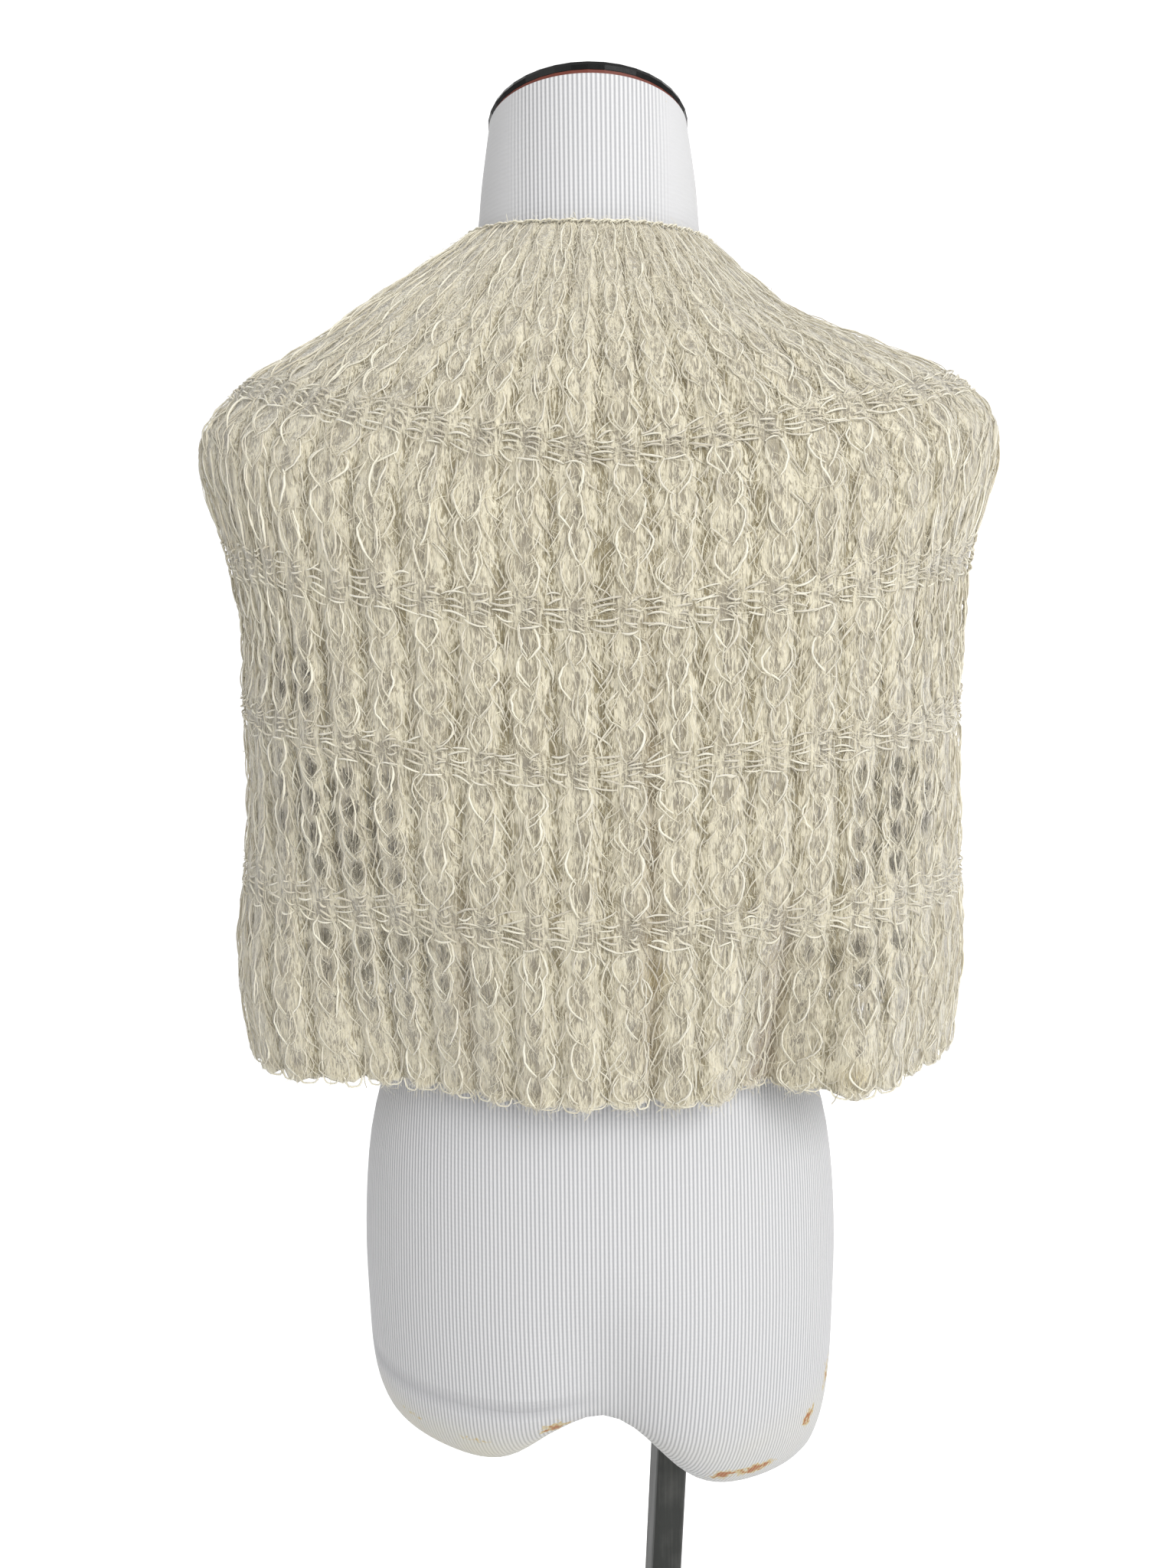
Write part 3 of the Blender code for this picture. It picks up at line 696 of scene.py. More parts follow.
@dataclass(frozen=True)
class HazeFinish:
    """The felted haze of mohair between the strands, thin where the knit is airy.

    A grain is the lumps in a metre along each axis, and a drift is the gain and the offset of a noise.
    """

    name: str = "mohair haze"
    wool: Triple = (0.53, 0.47, 0.337)
    pale: Triple = (0.84, 0.78, 0.60)
    # hollow: painted shade, the dark seen through the middles of the loops and between the tight strands of
    # the bands
    hollow: Triple = (0.265, 0.23, 0.168)
    # valley_shade: olive painted shade in the valleys between the ribs
    valley_shade: Triple = (0.255, 0.21, 0.105)
    # edge_shade: umber painted shade low along the side seams, where the panel turns away, and in the fold
    # valleys
    edge_shade: Triple = (0.28, 0.205, 0.13)
    yellow: Triple = (0.48, 0.37, 0.13)
    fibre_grain: Triple = (1050.0, 1050.0, 150.0)
    wisp_grain: Triple = (420.0, 420.0, 90.0)
    lump_grain: Triple = (95.0, 95.0, 60.0)
    drift_grain: Triple = (14.0, 14.0, 10.0)
    valley_drift: Span = (1.7, 0.22)
    stain_and_shade_drift: Span = (1.6, -0.2)
    shade_drift: Span = (1.2, 0.1)
    rim_gain: float = 0.20
    pale_drift: Span = (4.8, -5.84)
    pale_share: float = 0.92
    clear_drift: Span = (1.7, -1.7)
    clear_gain: float = 4.0
    clear_share: float = 0.91
    relief: float = 0.0013
    roughness: float = 1.0
    sheen: float = 1.0

    def build(self) -> bpy.types.Material:
        """Make the material."""
        material, s, shader = new_finish(self.name, self.roughness)
        fibres = s.noise(self.fibre_grain, 2.0, 0.0, 0.9)
        wisps = s.noise(self.wisp_grain, 2.0, 2.0, 1.4)
        lumps = s.noise(self.lump_grain, 1.0, 4.0)
        drift = s.noise(self.drift_grain, 2.0, 9.0)
        hairs = s.math("ADD", fibres, wisps)
        uneven = s.math("MULTIPLY_ADD", drift, *self.valley_drift)
        valley = s.math("MULTIPLY", s.attribute("valley"), uneven, clamp=True)
        # Painted shade: the middles of the loops and the bands go dark
        colour = s.blend(s.attribute("hollow"), self.wool, self.hollow)
        # Painted shade: the valleys between the ribs go olive
        colour = s.blend(valley, colour, self.valley_shade)
        near_leg = s.math("MULTIPLY_ADD", s.attribute("rim"), self.rim_gain, hairs)
        lumpy = s.math("MULTIPLY_ADD", lumps, 0.5, near_leg)
        pale = s.math("MULTIPLY_ADD", lumpy, *self.pale_drift, clamp=True)
        colour = s.blend(s.math("MULTIPLY", pale, self.pale_share), colour, self.pale)
        uneven = s.math("MULTIPLY_ADD", wisps, *self.stain_and_shade_drift)
        # Old stains, and yellow painted shade in two fold valleys near the hem
        colour = s.blend(s.math("MULTIPLY", s.attribute("stain_and_shade"), uneven, clamp=True), colour, self.yellow)
        uneven = s.math("MULTIPLY_ADD", fibres, *self.shade_drift)
        # Painted shade: umber low along the side seams and in the fold valleys
        colour = s.blend(s.math("MULTIPLY", s.attribute("edge"), uneven, clamp=True), colour, self.edge_shade)
        open_share = s.math("MULTIPLY_ADD", s.attribute("airy"), 1.2, -0.60)
        thin = s.math("ADD", open_share, s.math("MULTIPLY_ADD", hairs, *self.clear_drift))
        clear = s.math("MULTIPLY", s.math("MULTIPLY", thin, self.clear_gain, clamp=True), self.clear_share)
        alpha = s.math("SUBTRACT", 1.0, clear, clamp=True)
        bump = s.bump(0.9, self.relief, s.math("MULTIPLY_ADD", lumps, 0.6, hairs))
        s.feed(shader, Base_Color=colour, Alpha=alpha, Normal=bump, Sheen_Weight=self.sheen,
               Sheen_Roughness=0.6)
        return material


@dataclass(frozen=True)
class StrandFinish:
    """A single strand of the blended yarn: cream thread in a thin coat of down."""

    name: str = "cream yarn"
    dim: Triple = (0.60, 0.54, 0.41)
    bright: Triple = (0.96, 0.92, 0.76)
    slub_grain: Triple = (420.0, 420.0, 420.0)
    slub_gain: float = 0.7
    relief: float = 0.0005
    roughness: float = 0.85
    sheen: float = 0.85

    def build(self) -> bpy.types.Material:
        """Make the material."""
        material, s, shader = new_finish(self.name, self.roughness)
        slub = s.noise(self.slub_grain, 3.0, 2.0)
        uneven = s.math("MULTIPLY_ADD", slub, self.slub_gain, -self.slub_gain / 2.0)
        colour = s.blend(s.math("ADD", s.attribute("tone"), uneven, clamp=True), self.dim, self.bright)
        bump = s.bump(0.5, self.relief, slub)
        s.feed(shader, Base_Color=colour, Normal=bump, Sheen_Weight=self.sheen, Sheen_Roughness=0.5)
        return material


@dataclass(frozen=True)
class JerseyFinish:
    """White ribbed jersey, stretched over the form, worn and rusty along its lower edge."""

    name: str = "white ribbed jersey"
    white: Triple = (0.765, 0.763, 0.768)
    # groove_shade: painted shade in the grooves between the ribs
    groove_shade: Triple = (0.40, 0.402, 0.42)
    soiled: Triple = (0.70, 0.67, 0.55)
    rust: Triple = (0.40, 0.13, 0.02)
    glue: Triple = (0.62, 0.50, 0.24)
    # crease: painted shade along the crease over the left lobe, which the bump also sinks
    crease: Triple = (0.42, 0.42, 0.44)
    crease_up: float = 0.3965
    crease_fall: float = 0.022
    crease_half_width: float = 0.0090
    crease_depth: float = 4.5
    plain_rise: float = 0.70
    weave_grain: Triple = (1500.0, 1500.0, 900.0)
    cloud_grain: Triple = (22.0, 22.0, 16.0)
    flake_grain: Triple = (330.0, 330.0, 330.0)
    relief: float = 0.0006
    roughness: float = 0.9
    sheen: float = 0.25

    def build(self) -> bpy.types.Material:
        """Make the material."""
        material, s, shader = new_finish(self.name, self.roughness)
        ribs = s.add("ShaderNodeUVMap", uv_map="ribs").outputs[0]
        parts = s.feed(s.add("ShaderNodeSeparateXYZ"), Vector=ribs)
        wave = s.math("SINE", s.math("MULTIPLY", parts.outputs[0], math.tau))
        rise = s.math("POWER", s.math("MULTIPLY_ADD", wave, 0.5, 0.5, clamp=True), 0.6)
        rise = s.math("MULTIPLY_ADD", s.attribute("plain"), s.math("SUBTRACT", self.plain_rise, rise), rise)
        stitch = s.math("SINE", s.math("MULTIPLY", parts.outputs[1], math.tau))
        weave = s.noise(self.weave_grain, 2.0)
        cloud = s.noise(self.cloud_grain, 3.0, 5.0)
        # Painted shade: the grooves between the ribs go grey
        colour = s.blend(rise, self.groove_shade, self.white)
        uneven = s.math("MULTIPLY_ADD", cloud, 1.8, -0.3)
        colour = s.blend(s.math("MULTIPLY", s.attribute("wear"), uneven, clamp=True), colour, self.soiled)
        crease = self._crease(s)
        # Painted shade along the crease
        colour = s.blend(s.math("MULTIPLY", crease, 0.5), colour, self.crease)
        flakes = s.noise(self.flake_grain, 3.0, 7.0)
        spot = s.math("ADD", s.attribute("rust"), s.math("MULTIPLY_ADD", flakes, 1.4, -1.05))
        colour = s.blend(s.math("MULTIPLY", spot, 5.0, clamp=True), colour, self.glue)
        colour = s.blend(s.math("MULTIPLY_ADD", spot, 6.0, -1.3, clamp=True), colour, self.rust)
        height = s.math("MULTIPLY_ADD", stitch, 0.10, s.math("MULTIPLY_ADD", weave, 0.25, rise))
        bump = s.bump(0.6, self.relief, s.math("MULTIPLY_ADD", crease, -self.crease_depth, height))
        s.feed(shader, Base_Color=colour, Normal=bump, Sheen_Weight=self.sheen, Sheen_Roughness=0.5)
        return material

    def _crease(self, s: Sockets) -> bpy.types.Node:
        """Find the soft crease over the left lobe of the lower edge, at the back alone."""
        place = s.feed(s.add("ShaderNodeSeparateXYZ"), Vector=s.add("ShaderNodeTexCoord").outputs["Object"])
        line = s.math("MULTIPLY_ADD", place.outputs["X"], -self.crease_fall, self.crease_up)
        gap = s.math("ABSOLUTE", s.math("SUBTRACT", place.outputs["Z"], line))
        near = s.math("MULTIPLY_ADD", gap, -1.0 / self.crease_half_width, 1.0, clamp=True)
        left = s.math("MULTIPLY_ADD", place.outputs["X"], 25.0, 0.0, clamp=True)
        behind = s.math("MULTIPLY_ADD", place.outputs["Y"], 40.0, -0.8, clamp=True)
        return s.math("MULTIPLY", near, s.math("MULTIPLY", left, behind))


@dataclass(frozen=True)
class HardFinish:
    """Lacquer, board or paint: a hard surface with grain, and dust and wear in soft patches."""

    name: str
    colour: Triple
    worn: Triple
    roughness: float
    metallic: float = 0.0
    coat: float = 0.0
    gloss: float = 0.5
    grain: Triple = (300.0, 300.0, 300.0)
    relief: float = 0.0001
    wear_from: float = 0.60

    def build(self) -> bpy.types.Material:
        """Make the material."""
        material, s, shader = new_finish(self.name, self.roughness, self.metallic)
        grain = s.noise(self.grain, 4.0, 1.0)
        patches = s.noise((35.0, 35.0, 35.0), 4.0, 3.0)
        worn = s.math("MULTIPLY_ADD", s.math("MULTIPLY_ADD", patches, 0.6, s.math("MULTIPLY", grain, 0.4)),
                      4.0, -4.0 * self.wear_from, clamp=True)
        colour = s.blend(worn, self.colour, self.worn)
        rough = s.math("MULTIPLY_ADD", grain, 0.25, self.roughness - 0.12, clamp=True)
        s.feed(shader, Base_Color=colour, Roughness=rough, Normal=s.bump(0.4, self.relief, grain),
               Coat_Weight=self.coat, Coat_Roughness=0.06, Specular_IOR_Level=self.gloss)
        return material


LACQUER = HardFinish("black lacquer", (0.006, 0.006, 0.006), (0.016, 0.014, 0.013), roughness=0.26,
                     coat=0.12, gloss=0.22, wear_from=0.66)
BOARD = HardFinish("red brown board", (0.16, 0.035, 0.02), (0.34, 0.10, 0.05), roughness=0.55,
                   grain=(90.0, 90.0, 900.0))
STEEL = HardFinish("dark grey steel", (0.040, 0.042, 0.039), (0.095, 0.095, 0.088), roughness=0.45,
                   metallic=0.10, gloss=0.3, grain=(500.0, 500.0, 12.0), wear_from=0.52)
IRON = HardFinish("dark grey plate", (0.035, 0.037, 0.037), (0.09, 0.09, 0.088), roughness=0.5,
                  metallic=0.4, coat=0.1)


def link_object(name: str, mesh: bpy.types.Mesh) -> bpy.types.Object:
    """Make an object of a mesh at the origin and show it in the scene."""
    thing = bpy.data.objects.new(name, mesh)
    bpy.context.scene.collection.objects.link(thing)
    return thing


def plain_mesh(thing: bpy.types.Object) -> None:
    """Keep what an object's modifiers make as its plain mesh, and drop the modifiers."""
    bpy.context.view_layer.update()
    graph = bpy.context.evaluated_depsgraph_get()
    made = thing.evaluated_get(graph)
    mesh = bpy.data.meshes.new_from_object(made, preserve_all_data_layers=True, depsgraph=graph)
    old = thing.data
    thing.modifiers.clear()
    thing.data = mesh
    mesh.name = thing.name
    bpy.data.meshes.remove(old)


def keep_numbers(mesh: bpy.types.Mesh, name: str, values: np.ndarray) -> None:
    """Keep a number or a direction at each point of a mesh, for its material or its nodes."""
    kind = "FLOAT_VECTOR" if values.ndim == 2 else "FLOAT"
    attribute = mesh.attributes.new(name, kind, "POINT")
    attribute.data.foreach_set("vector" if values.ndim == 2 else "value", values.astype(np.float32).ravel())


def grid_faces(down: int, across: int, closed: bool = False) -> np.ndarray:
    """List the four corners of each face of a grid of points.

    Args:
        down: Rows of points.
        across: Points in a row.
        closed: Whether the last point of a row meets the first.

    Returns:
        One line of four point numbers for each face.
    """
    steps = across if closed else across - 1
    i, j = np.meshgrid(np.arange(down - 1), np.arange(steps), indexing="ij")
    here, following = j.ravel(), (j.ravel() + 1) % across
    upper, lower = i.ravel() * across, (i.ravel() + 1) * across
    return np.stack([upper + here, lower + here, lower + following, upper + following], axis=1)


class ModifierTree:
    """A Geometry Nodes tree with named inputs."""

    def __init__(self, name: str, inputs: dict[str, str]) -> None:
        """Start the tree.

        Args:
            name: What the tree makes.
            inputs: The type of each named input, after the geometry.
        """
        self.tree = bpy.data.node_groups.new(name, "GeometryNodeTree")
        self.sockets = Sockets(self.tree)
        self.tree.interface.new_socket("Geometry", in_out="INPUT", socket_type="NodeSocketGeometry")
        self.named = {
            label: self.tree.interface.new_socket(label, in_out="INPUT", socket_type=kind).identifier
            for label, kind in inputs.items()
        }
        self.tree.interface.new_socket("Geometry", in_out="OUTPUT", socket_type="NodeSocketGeometry")
        self.start = self.sockets.add("NodeGroupInput")
        self.end = self.sockets.add("NodeGroupOutput")

    def close(self, geometry: bpy.types.Node) -> None:
        """End the tree: instances made real, smooth, in the material that the tree is given."""
        s = self.sockets
        real = s.feed(s.add("GeometryNodeRealizeInstances"), Geometry=geometry)
        smooth = s.feed(s.add("GeometryNodeSetShadeSmooth"), Geometry=real)
        finish = self.start.outputs["Material"]
        s.feed(self.end, Geometry=s.feed(s.add("GeometryNodeSetMaterial"), Geometry=smooth, Material=finish))

    def run(self, thing: bpy.types.Object, **values: object) -> None:
        """Run the tree on an object and keep the plain mesh that it makes.

        Args:
            thing: The object that the tree reads and whose mesh it replaces.
            values: The named inputs, with _ for a space.
        """
        modifier = thing.modifiers.new(self.tree.name, "NODES")
        modifier.node_group = self.tree
        for label, value in values.items():
            modifier[self.named[label.replace("_", " ")]] = value
        plain_mesh(thing)


class StrandTree(ModifierTree):
    """Turns lines of points into round strands of yarn, each point with its own girth."""

    def __init__(self) -> None:
        """Build the tree."""
        super().__init__("yarn strands", {"Sides": "NodeSocketInt", "Girth": "NodeSocketFloat",
                                          "Material": "NodeSocketMaterial"})
        s = self.sockets
        radius = s.math("MULTIPLY", s.named("girth"), self.start.outputs["Girth"])
        lines = s.feed(s.add("GeometryNodeMeshToCurve"), Mesh=self.start.outputs["Geometry"])
        profile = s.add("GeometryNodeCurvePrimitiveCircle")
        s.feed(profile, Resolution=self.start.outputs["Sides"], Radius=1.0)
        tubes = s.add("GeometryNodeCurveToMesh")
        s.feed(tubes, Curve=lines, Profile_Curve=profile, Scale=radius, Fill_Caps=True)
        self.close(tubes)


class HaloTree(ModifierTree):
    """Grows a halo of single bent fibres from a surface, along the way its yarn runs."""

    length_share: Span = (0.45, 1.35)
    bend_share: Span = (-1.0, 1.0)
    lift_share: Span = (-0.8, 0.25)
    tone: Span = (0.15, 1.0)
    fibre_root: Triple = (-0.5, 0.0, 0.02)
    fibre_bow: Triple = (0.05, 0.36, 0.24)
    fibre_tip: Triple = (0.5, 0.0, 0.10)

    def __init__(self) -> None:
        """Build the tree."""
        super().__init__("mohair halo", {
            "Density": "NodeSocketFloat", "Length": "NodeSocketFloat", "Width": "NodeSocketFloat",
            "Spread": "NodeSocketFloat", "Lift": "NodeSocketFloat", "Seed": "NodeSocketInt",
            "Material": "NodeSocketMaterial",
        })
        s = self.sockets
        points = self._scatter()
        turned = self._lay_down(points)
        size = s.math("MULTIPLY", self._random(self.length_share, 3), self.start.outputs["Length"])
        bend = s.math("MULTIPLY", size, self._random(self.bend_share, 4))
        scale = s.feed(s.add("ShaderNodeCombineXYZ"), X=size, Y=bend, Z=size)
        placed = s.add("GeometryNodeInstanceOnPoints")
        s.feed(placed, Points=points.outputs["Points"], Instance=self._fibre(), Rotation=turned, Scale=scale)
        toned = s.add("GeometryNodeStoreNamedAttribute", data_type="FLOAT", domain="INSTANCE")
        s.feed(toned, Geometry=placed, Name="tone", Value=self._random(self.tone, 5))
        self.close(toned)

    def _scatter(self) -> bpy.types.Node:
        """Scatter the roots of the fibres, thicker where the surface says so."""
        s, given = self.sockets, self.start.outputs
        density = s.math("MULTIPLY", s.named("crowd"), given["Density"])
        points = s.add("GeometryNodeDistributePointsOnFaces", distribute_method="RANDOM")
        return s.feed(points, Mesh=given["Geometry"], Density=density, Seed=given["Seed"])

    def _random(self, span: Span, salt: int) -> bpy.types.NodeSocket:
        """Draw a number for each fibre.

        Args:
            span: The least and the greatest value.
            salt: Added to the seed, so that two draws differ.

        Returns:
            The socket of the drawn value.
        """
        s = self.sockets
        seed = s.math("ADD", self.start.outputs["Seed"], float(salt))
        node = s.add("FunctionNodeRandomValue", data_type="FLOAT")
        return s.pick(s.feed(node, Min=span[0], Max=span[1], Seed=seed).outputs, "")

    def _lay_down(self, points: bpy.types.Node) -> bpy.types.Node:
        """Turn each fibre along the yarn on its surface, then spread and lift it at random."""
        s, given = self.sockets, self.start.outputs
        upright = s.add("FunctionNodeAlignRotationToVector", axis="Z")
        s.feed(upright, Vector=points.outputs["Normal"])
        laid = s.add("FunctionNodeAlignRotationToVector", axis="X", pivot_axis="Z")
        s.feed(laid, Rotation=upright, Vector=s.named("run", "FLOAT_VECTOR"))
        either_way, mostly_little = self._random((-1.0, 1.0), 1), self._random((-1.0, 1.0), 6)
        spin = s.math("MULTIPLY", either_way, s.math("ABSOLUTE", mostly_little))
        spin = s.math("MULTIPLY", spin, given["Spread"])
        lift = s.math("MULTIPLY", self._random(self.lift_share, 2), given["Lift"])
        turn = s.feed(s.add("ShaderNodeCombineXYZ"), X=0.0, Y=lift, Z=spin)
        angles = s.feed(s.add("FunctionNodeEulerToRotation"), Euler=turn)
        turned = s.add("FunctionNodeRotateRotation", rotation_space="LOCAL")
        return s.feed(turned, Rotation=laid, Rotate_By=angles)

    def _fibre(self) -> bpy.types.Node:
        """Make one fibre of length 1: a thin flat ribbon bent to one side and off the surface."""
        s = self.sockets
        spine = s.add("GeometryNodeCurveQuadraticBezier")
        s.feed(spine, Resolution=2, Start=self.fibre_root, Middle=self.fibre_bow, End=self.fibre_tip)
        edge = s.add("GeometryNodeCurvePrimitiveLine", mode="DIRECTION")
        width = s.math("DIVIDE", self.start.outputs["Width"], self.start.outputs["Length"])
        s.feed(edge, Start=(0.0, 0.0, 0.0), Direction=(1.0, 0.0, 0.0), Length=width)
        return s.feed(s.add("GeometryNodeCurveToMesh"), Curve=spine, Profile_Curve=edge)


@dataclass
class Strands:
    """Lines of yarn as they are laid: points with their girth and tone, in groups of equal length."""

    points: list[np.ndarray] = field(default_factory=list)
    girths: list[np.ndarray] = field(default_factory=list)
    tones: list[np.ndarray] = field(default_factory=list)

    def lay(self, points: np.ndarray, girth: np.ndarray, tone: np.ndarray) -> None:
        """Add strands that have the same number of points.

        Args:
            points: Strands by points by coordinates.
            girth: The radius at each point.
            tone: How bright each strand is, from 0 to 1.
        """
        self.points.append(points)
        self.girths.append(np.broadcast_to(girth, points.shape[:2]))
        self.tones.append(np.broadcast_to(tone[:, None], points.shape[:2]))

    def build(self, name: str, tree: StrandTree, material: bpy.types.Material,
              sides: int = 3) -> bpy.types.Object:
        """Turn the lines into round strands.

        Args:
            name: The piece's name.
            tree: The tree that makes the strands.
            material: The yarn's finish.
            sides: Flat sides round a strand.

        Returns:
            The piece.
        """
        edges, first = [], 0
        for group in self.points:
            count, length = group.shape[:2]
            start = first + np.arange(count)[:, None] * length + np.arange(length - 1)
            edges.append(np.stack([start.ravel(), start.ravel() + 1], axis=1))
            first += count * length
        mesh = bpy.data.meshes.new(name)
        flat = np.concatenate([group.reshape(-1, 3) for group in self.points])
        mesh.from_pydata(flat.tolist(), np.concatenate(edges).tolist(), [])
        keep_numbers(mesh, "girth", np.concatenate([girth.ravel() for girth in self.girths]))
        keep_numbers(mesh, "tone", np.concatenate([tone.ravel() for tone in self.tones]))
        thing = link_object(name, mesh)
        tree.run(thing, Sides=sides, Girth=1.0, Material=material)
        return thing


@dataclass(frozen=True)
class YarnLay:
    """How unevenly the yarn lies: the least and the greatest of each size that is drawn at random.

    Places and lengths across are in columns, those down are in rows, and a rise, girth or length that is
    near 1 is a share of the strand's usual one.
    """

    column_slip: Span = (-0.07, 0.07)
    hem_stray: Span = (-0.03, 0.03)
    loop_aside: Span = (-0.09, 0.09)
    loop_width: Span = (0.60, 1.28)
    loop_slip: Span = (-0.05, 0.05)
    leg_lead: Span = (0.12, 0.26)
    leg_bulge: Span = (-0.25, 0.25)
    leg_kink: Span = (-0.030, 0.030)
    leg_shake: Span = (-0.010, 0.010)
    leg_length: Span = (0.98, 1.32)
    leg_slip: Span = (-0.008, 0.008)
    leg_rise: Span = (0.5, 1.2)
    leg_tone: Span = (0.22, 1.0)
    leg_girth: Span = (0.70, 1.25)
    rung_aside: Span = (0.00, 0.20)
    rung_reach: Span = (0.04, 0.20)
    rung_climb: Span = (0.08, 0.22)
    rung_bend: Span = (-0.10, 0.10)
    rung_rise: Span = (0.2, 1.2)
    rung_tone: Span = (0.0, 0.9)
    rung_girth: Span = (0.60, 1.15)
    band_aside: Span = (-0.06, 0.06)
    band_bend: Span = (-0.035, 0.035)
    band_slip: Span = (-0.022, 0.022)
    band_lean: Span = (-0.03, 0.03)
    band_rise: Span = (0.5, 1.25)
    band_girth: Span = (0.75, 1.15)
    neck_aside: Span = (-0.02, 0.02)
    neck_slip: Span = (-0.01, 0.01)
    neck_tone: Span = (0.55, 1.0)
    hem_drop: Span = (0.35, 1.0)
    hem_width: Span = (0.20, 0.30)
    hem_rise: Span = (-0.0012, 0.0006)
    hem_girth: Span = (0.75, 1.15)
    hem_tone: Span = (0.5, 1.0)
    side_aside: Span = (-0.02, 0.02)
    side_tone: Span = (0.1, 0.8)


@dataclass(frozen=True)
class WebMarks:
    """How much a place's lie on the knit tells on its haze and its halo."""

    neck_rows: float = 1.6
    neck_reach: float = 1.4
    # How strongly painted shade darkens the valleys between the ribs, less in the bands and at the neck
    valley_gain: float = 1.45
    valley_at_neck: float = 0.6
    valley_in_band: float = 0.2
    # How much painted shade the hollows of the loops get at the neck, and the bands get
    hollow_at_neck: float = 0.5
    hollow_in_band: float = 0.90
    rim_half: float = 0.22
    rim_in_band: float = 0.6
    side_from: float = 0.84
    side_row: float = 4.5
    side_rows: float = 3.0
    side_shade: float = 0.7
    gap_share: float = 0.9
    airy_least: float = 0.12
    airy_in_band: float = 0.9
    fringe_neck: float = 0.3
    fringe_hem: float = 0.25
    fringe_crowd: float = 1.4
    plain_crowd: float = 0.62
    crest_crowd: float = 0.62
    inside_crowd: float = 0.28
    airy_crowd: float = 0.30
    shade_crowd: float = 0.55
    slant: float = 0.9
    slant_from: float = 0.2
    run_in_band: float = 0.85


@dataclass(frozen=True)
class YarnShape:
    """Rise and girth along each kind of strand: what it has at its ends, and how much more in the middle.

    A rise is in metres off the knit, a girth is a share of the yarn's, and the other sizes are in rows
    and columns.
    """

    leg_points: int = 8
    rung_points: int = 7
    short_points: int = 6
    hem_points: int = 9
    leg_foot: Span = (0.08, 0.92)
    leg_rise: Span = (-0.0005, 0.0021)
    leg_girth: Span = (0.50, 0.60)
    leg_girth_by_tone: Span = (0.75, 0.45)
    leg_overlap: float = 0.03
    rung_rise: Span = (-0.0003, 0.0012)
    rung_girth: Span = (0.50, 0.30)
    band_rise: Span = (0.0002, 0.0014)
    band_girth: Span = (0.62, 0.42)
    neck_rise: Span = (0.0006, 0.0009)
    neck_girth: Span = (0.7, 0.45)
    neck_sink: float = 0.0012
    neck_row: float = 0.03
    neck_slant: float = 0.045
    neck_reach: float = 0.20
    hem_drop: Span = (0.04, 0.10)
    hem_overlap: float = 0.06
    hem_left_drop: float = 1.2
    hem_right_fall: float = 1.6
    hem_right_drop: float = 0.25
    side_rise: Span = (-0.0002, 0.0010)
    side_girth: Span = (0.7, 0.4)
    side_bow: float = 0.05
    side_reach: float = 0.10


def arched(ends: float, more: object, t: np.ndarray) -> np.ndarray:
    """A size along a strand that is least at both its ends, -1 and 1, and has more in the middle."""
    return ends + more * (1.0 - t ** 2)


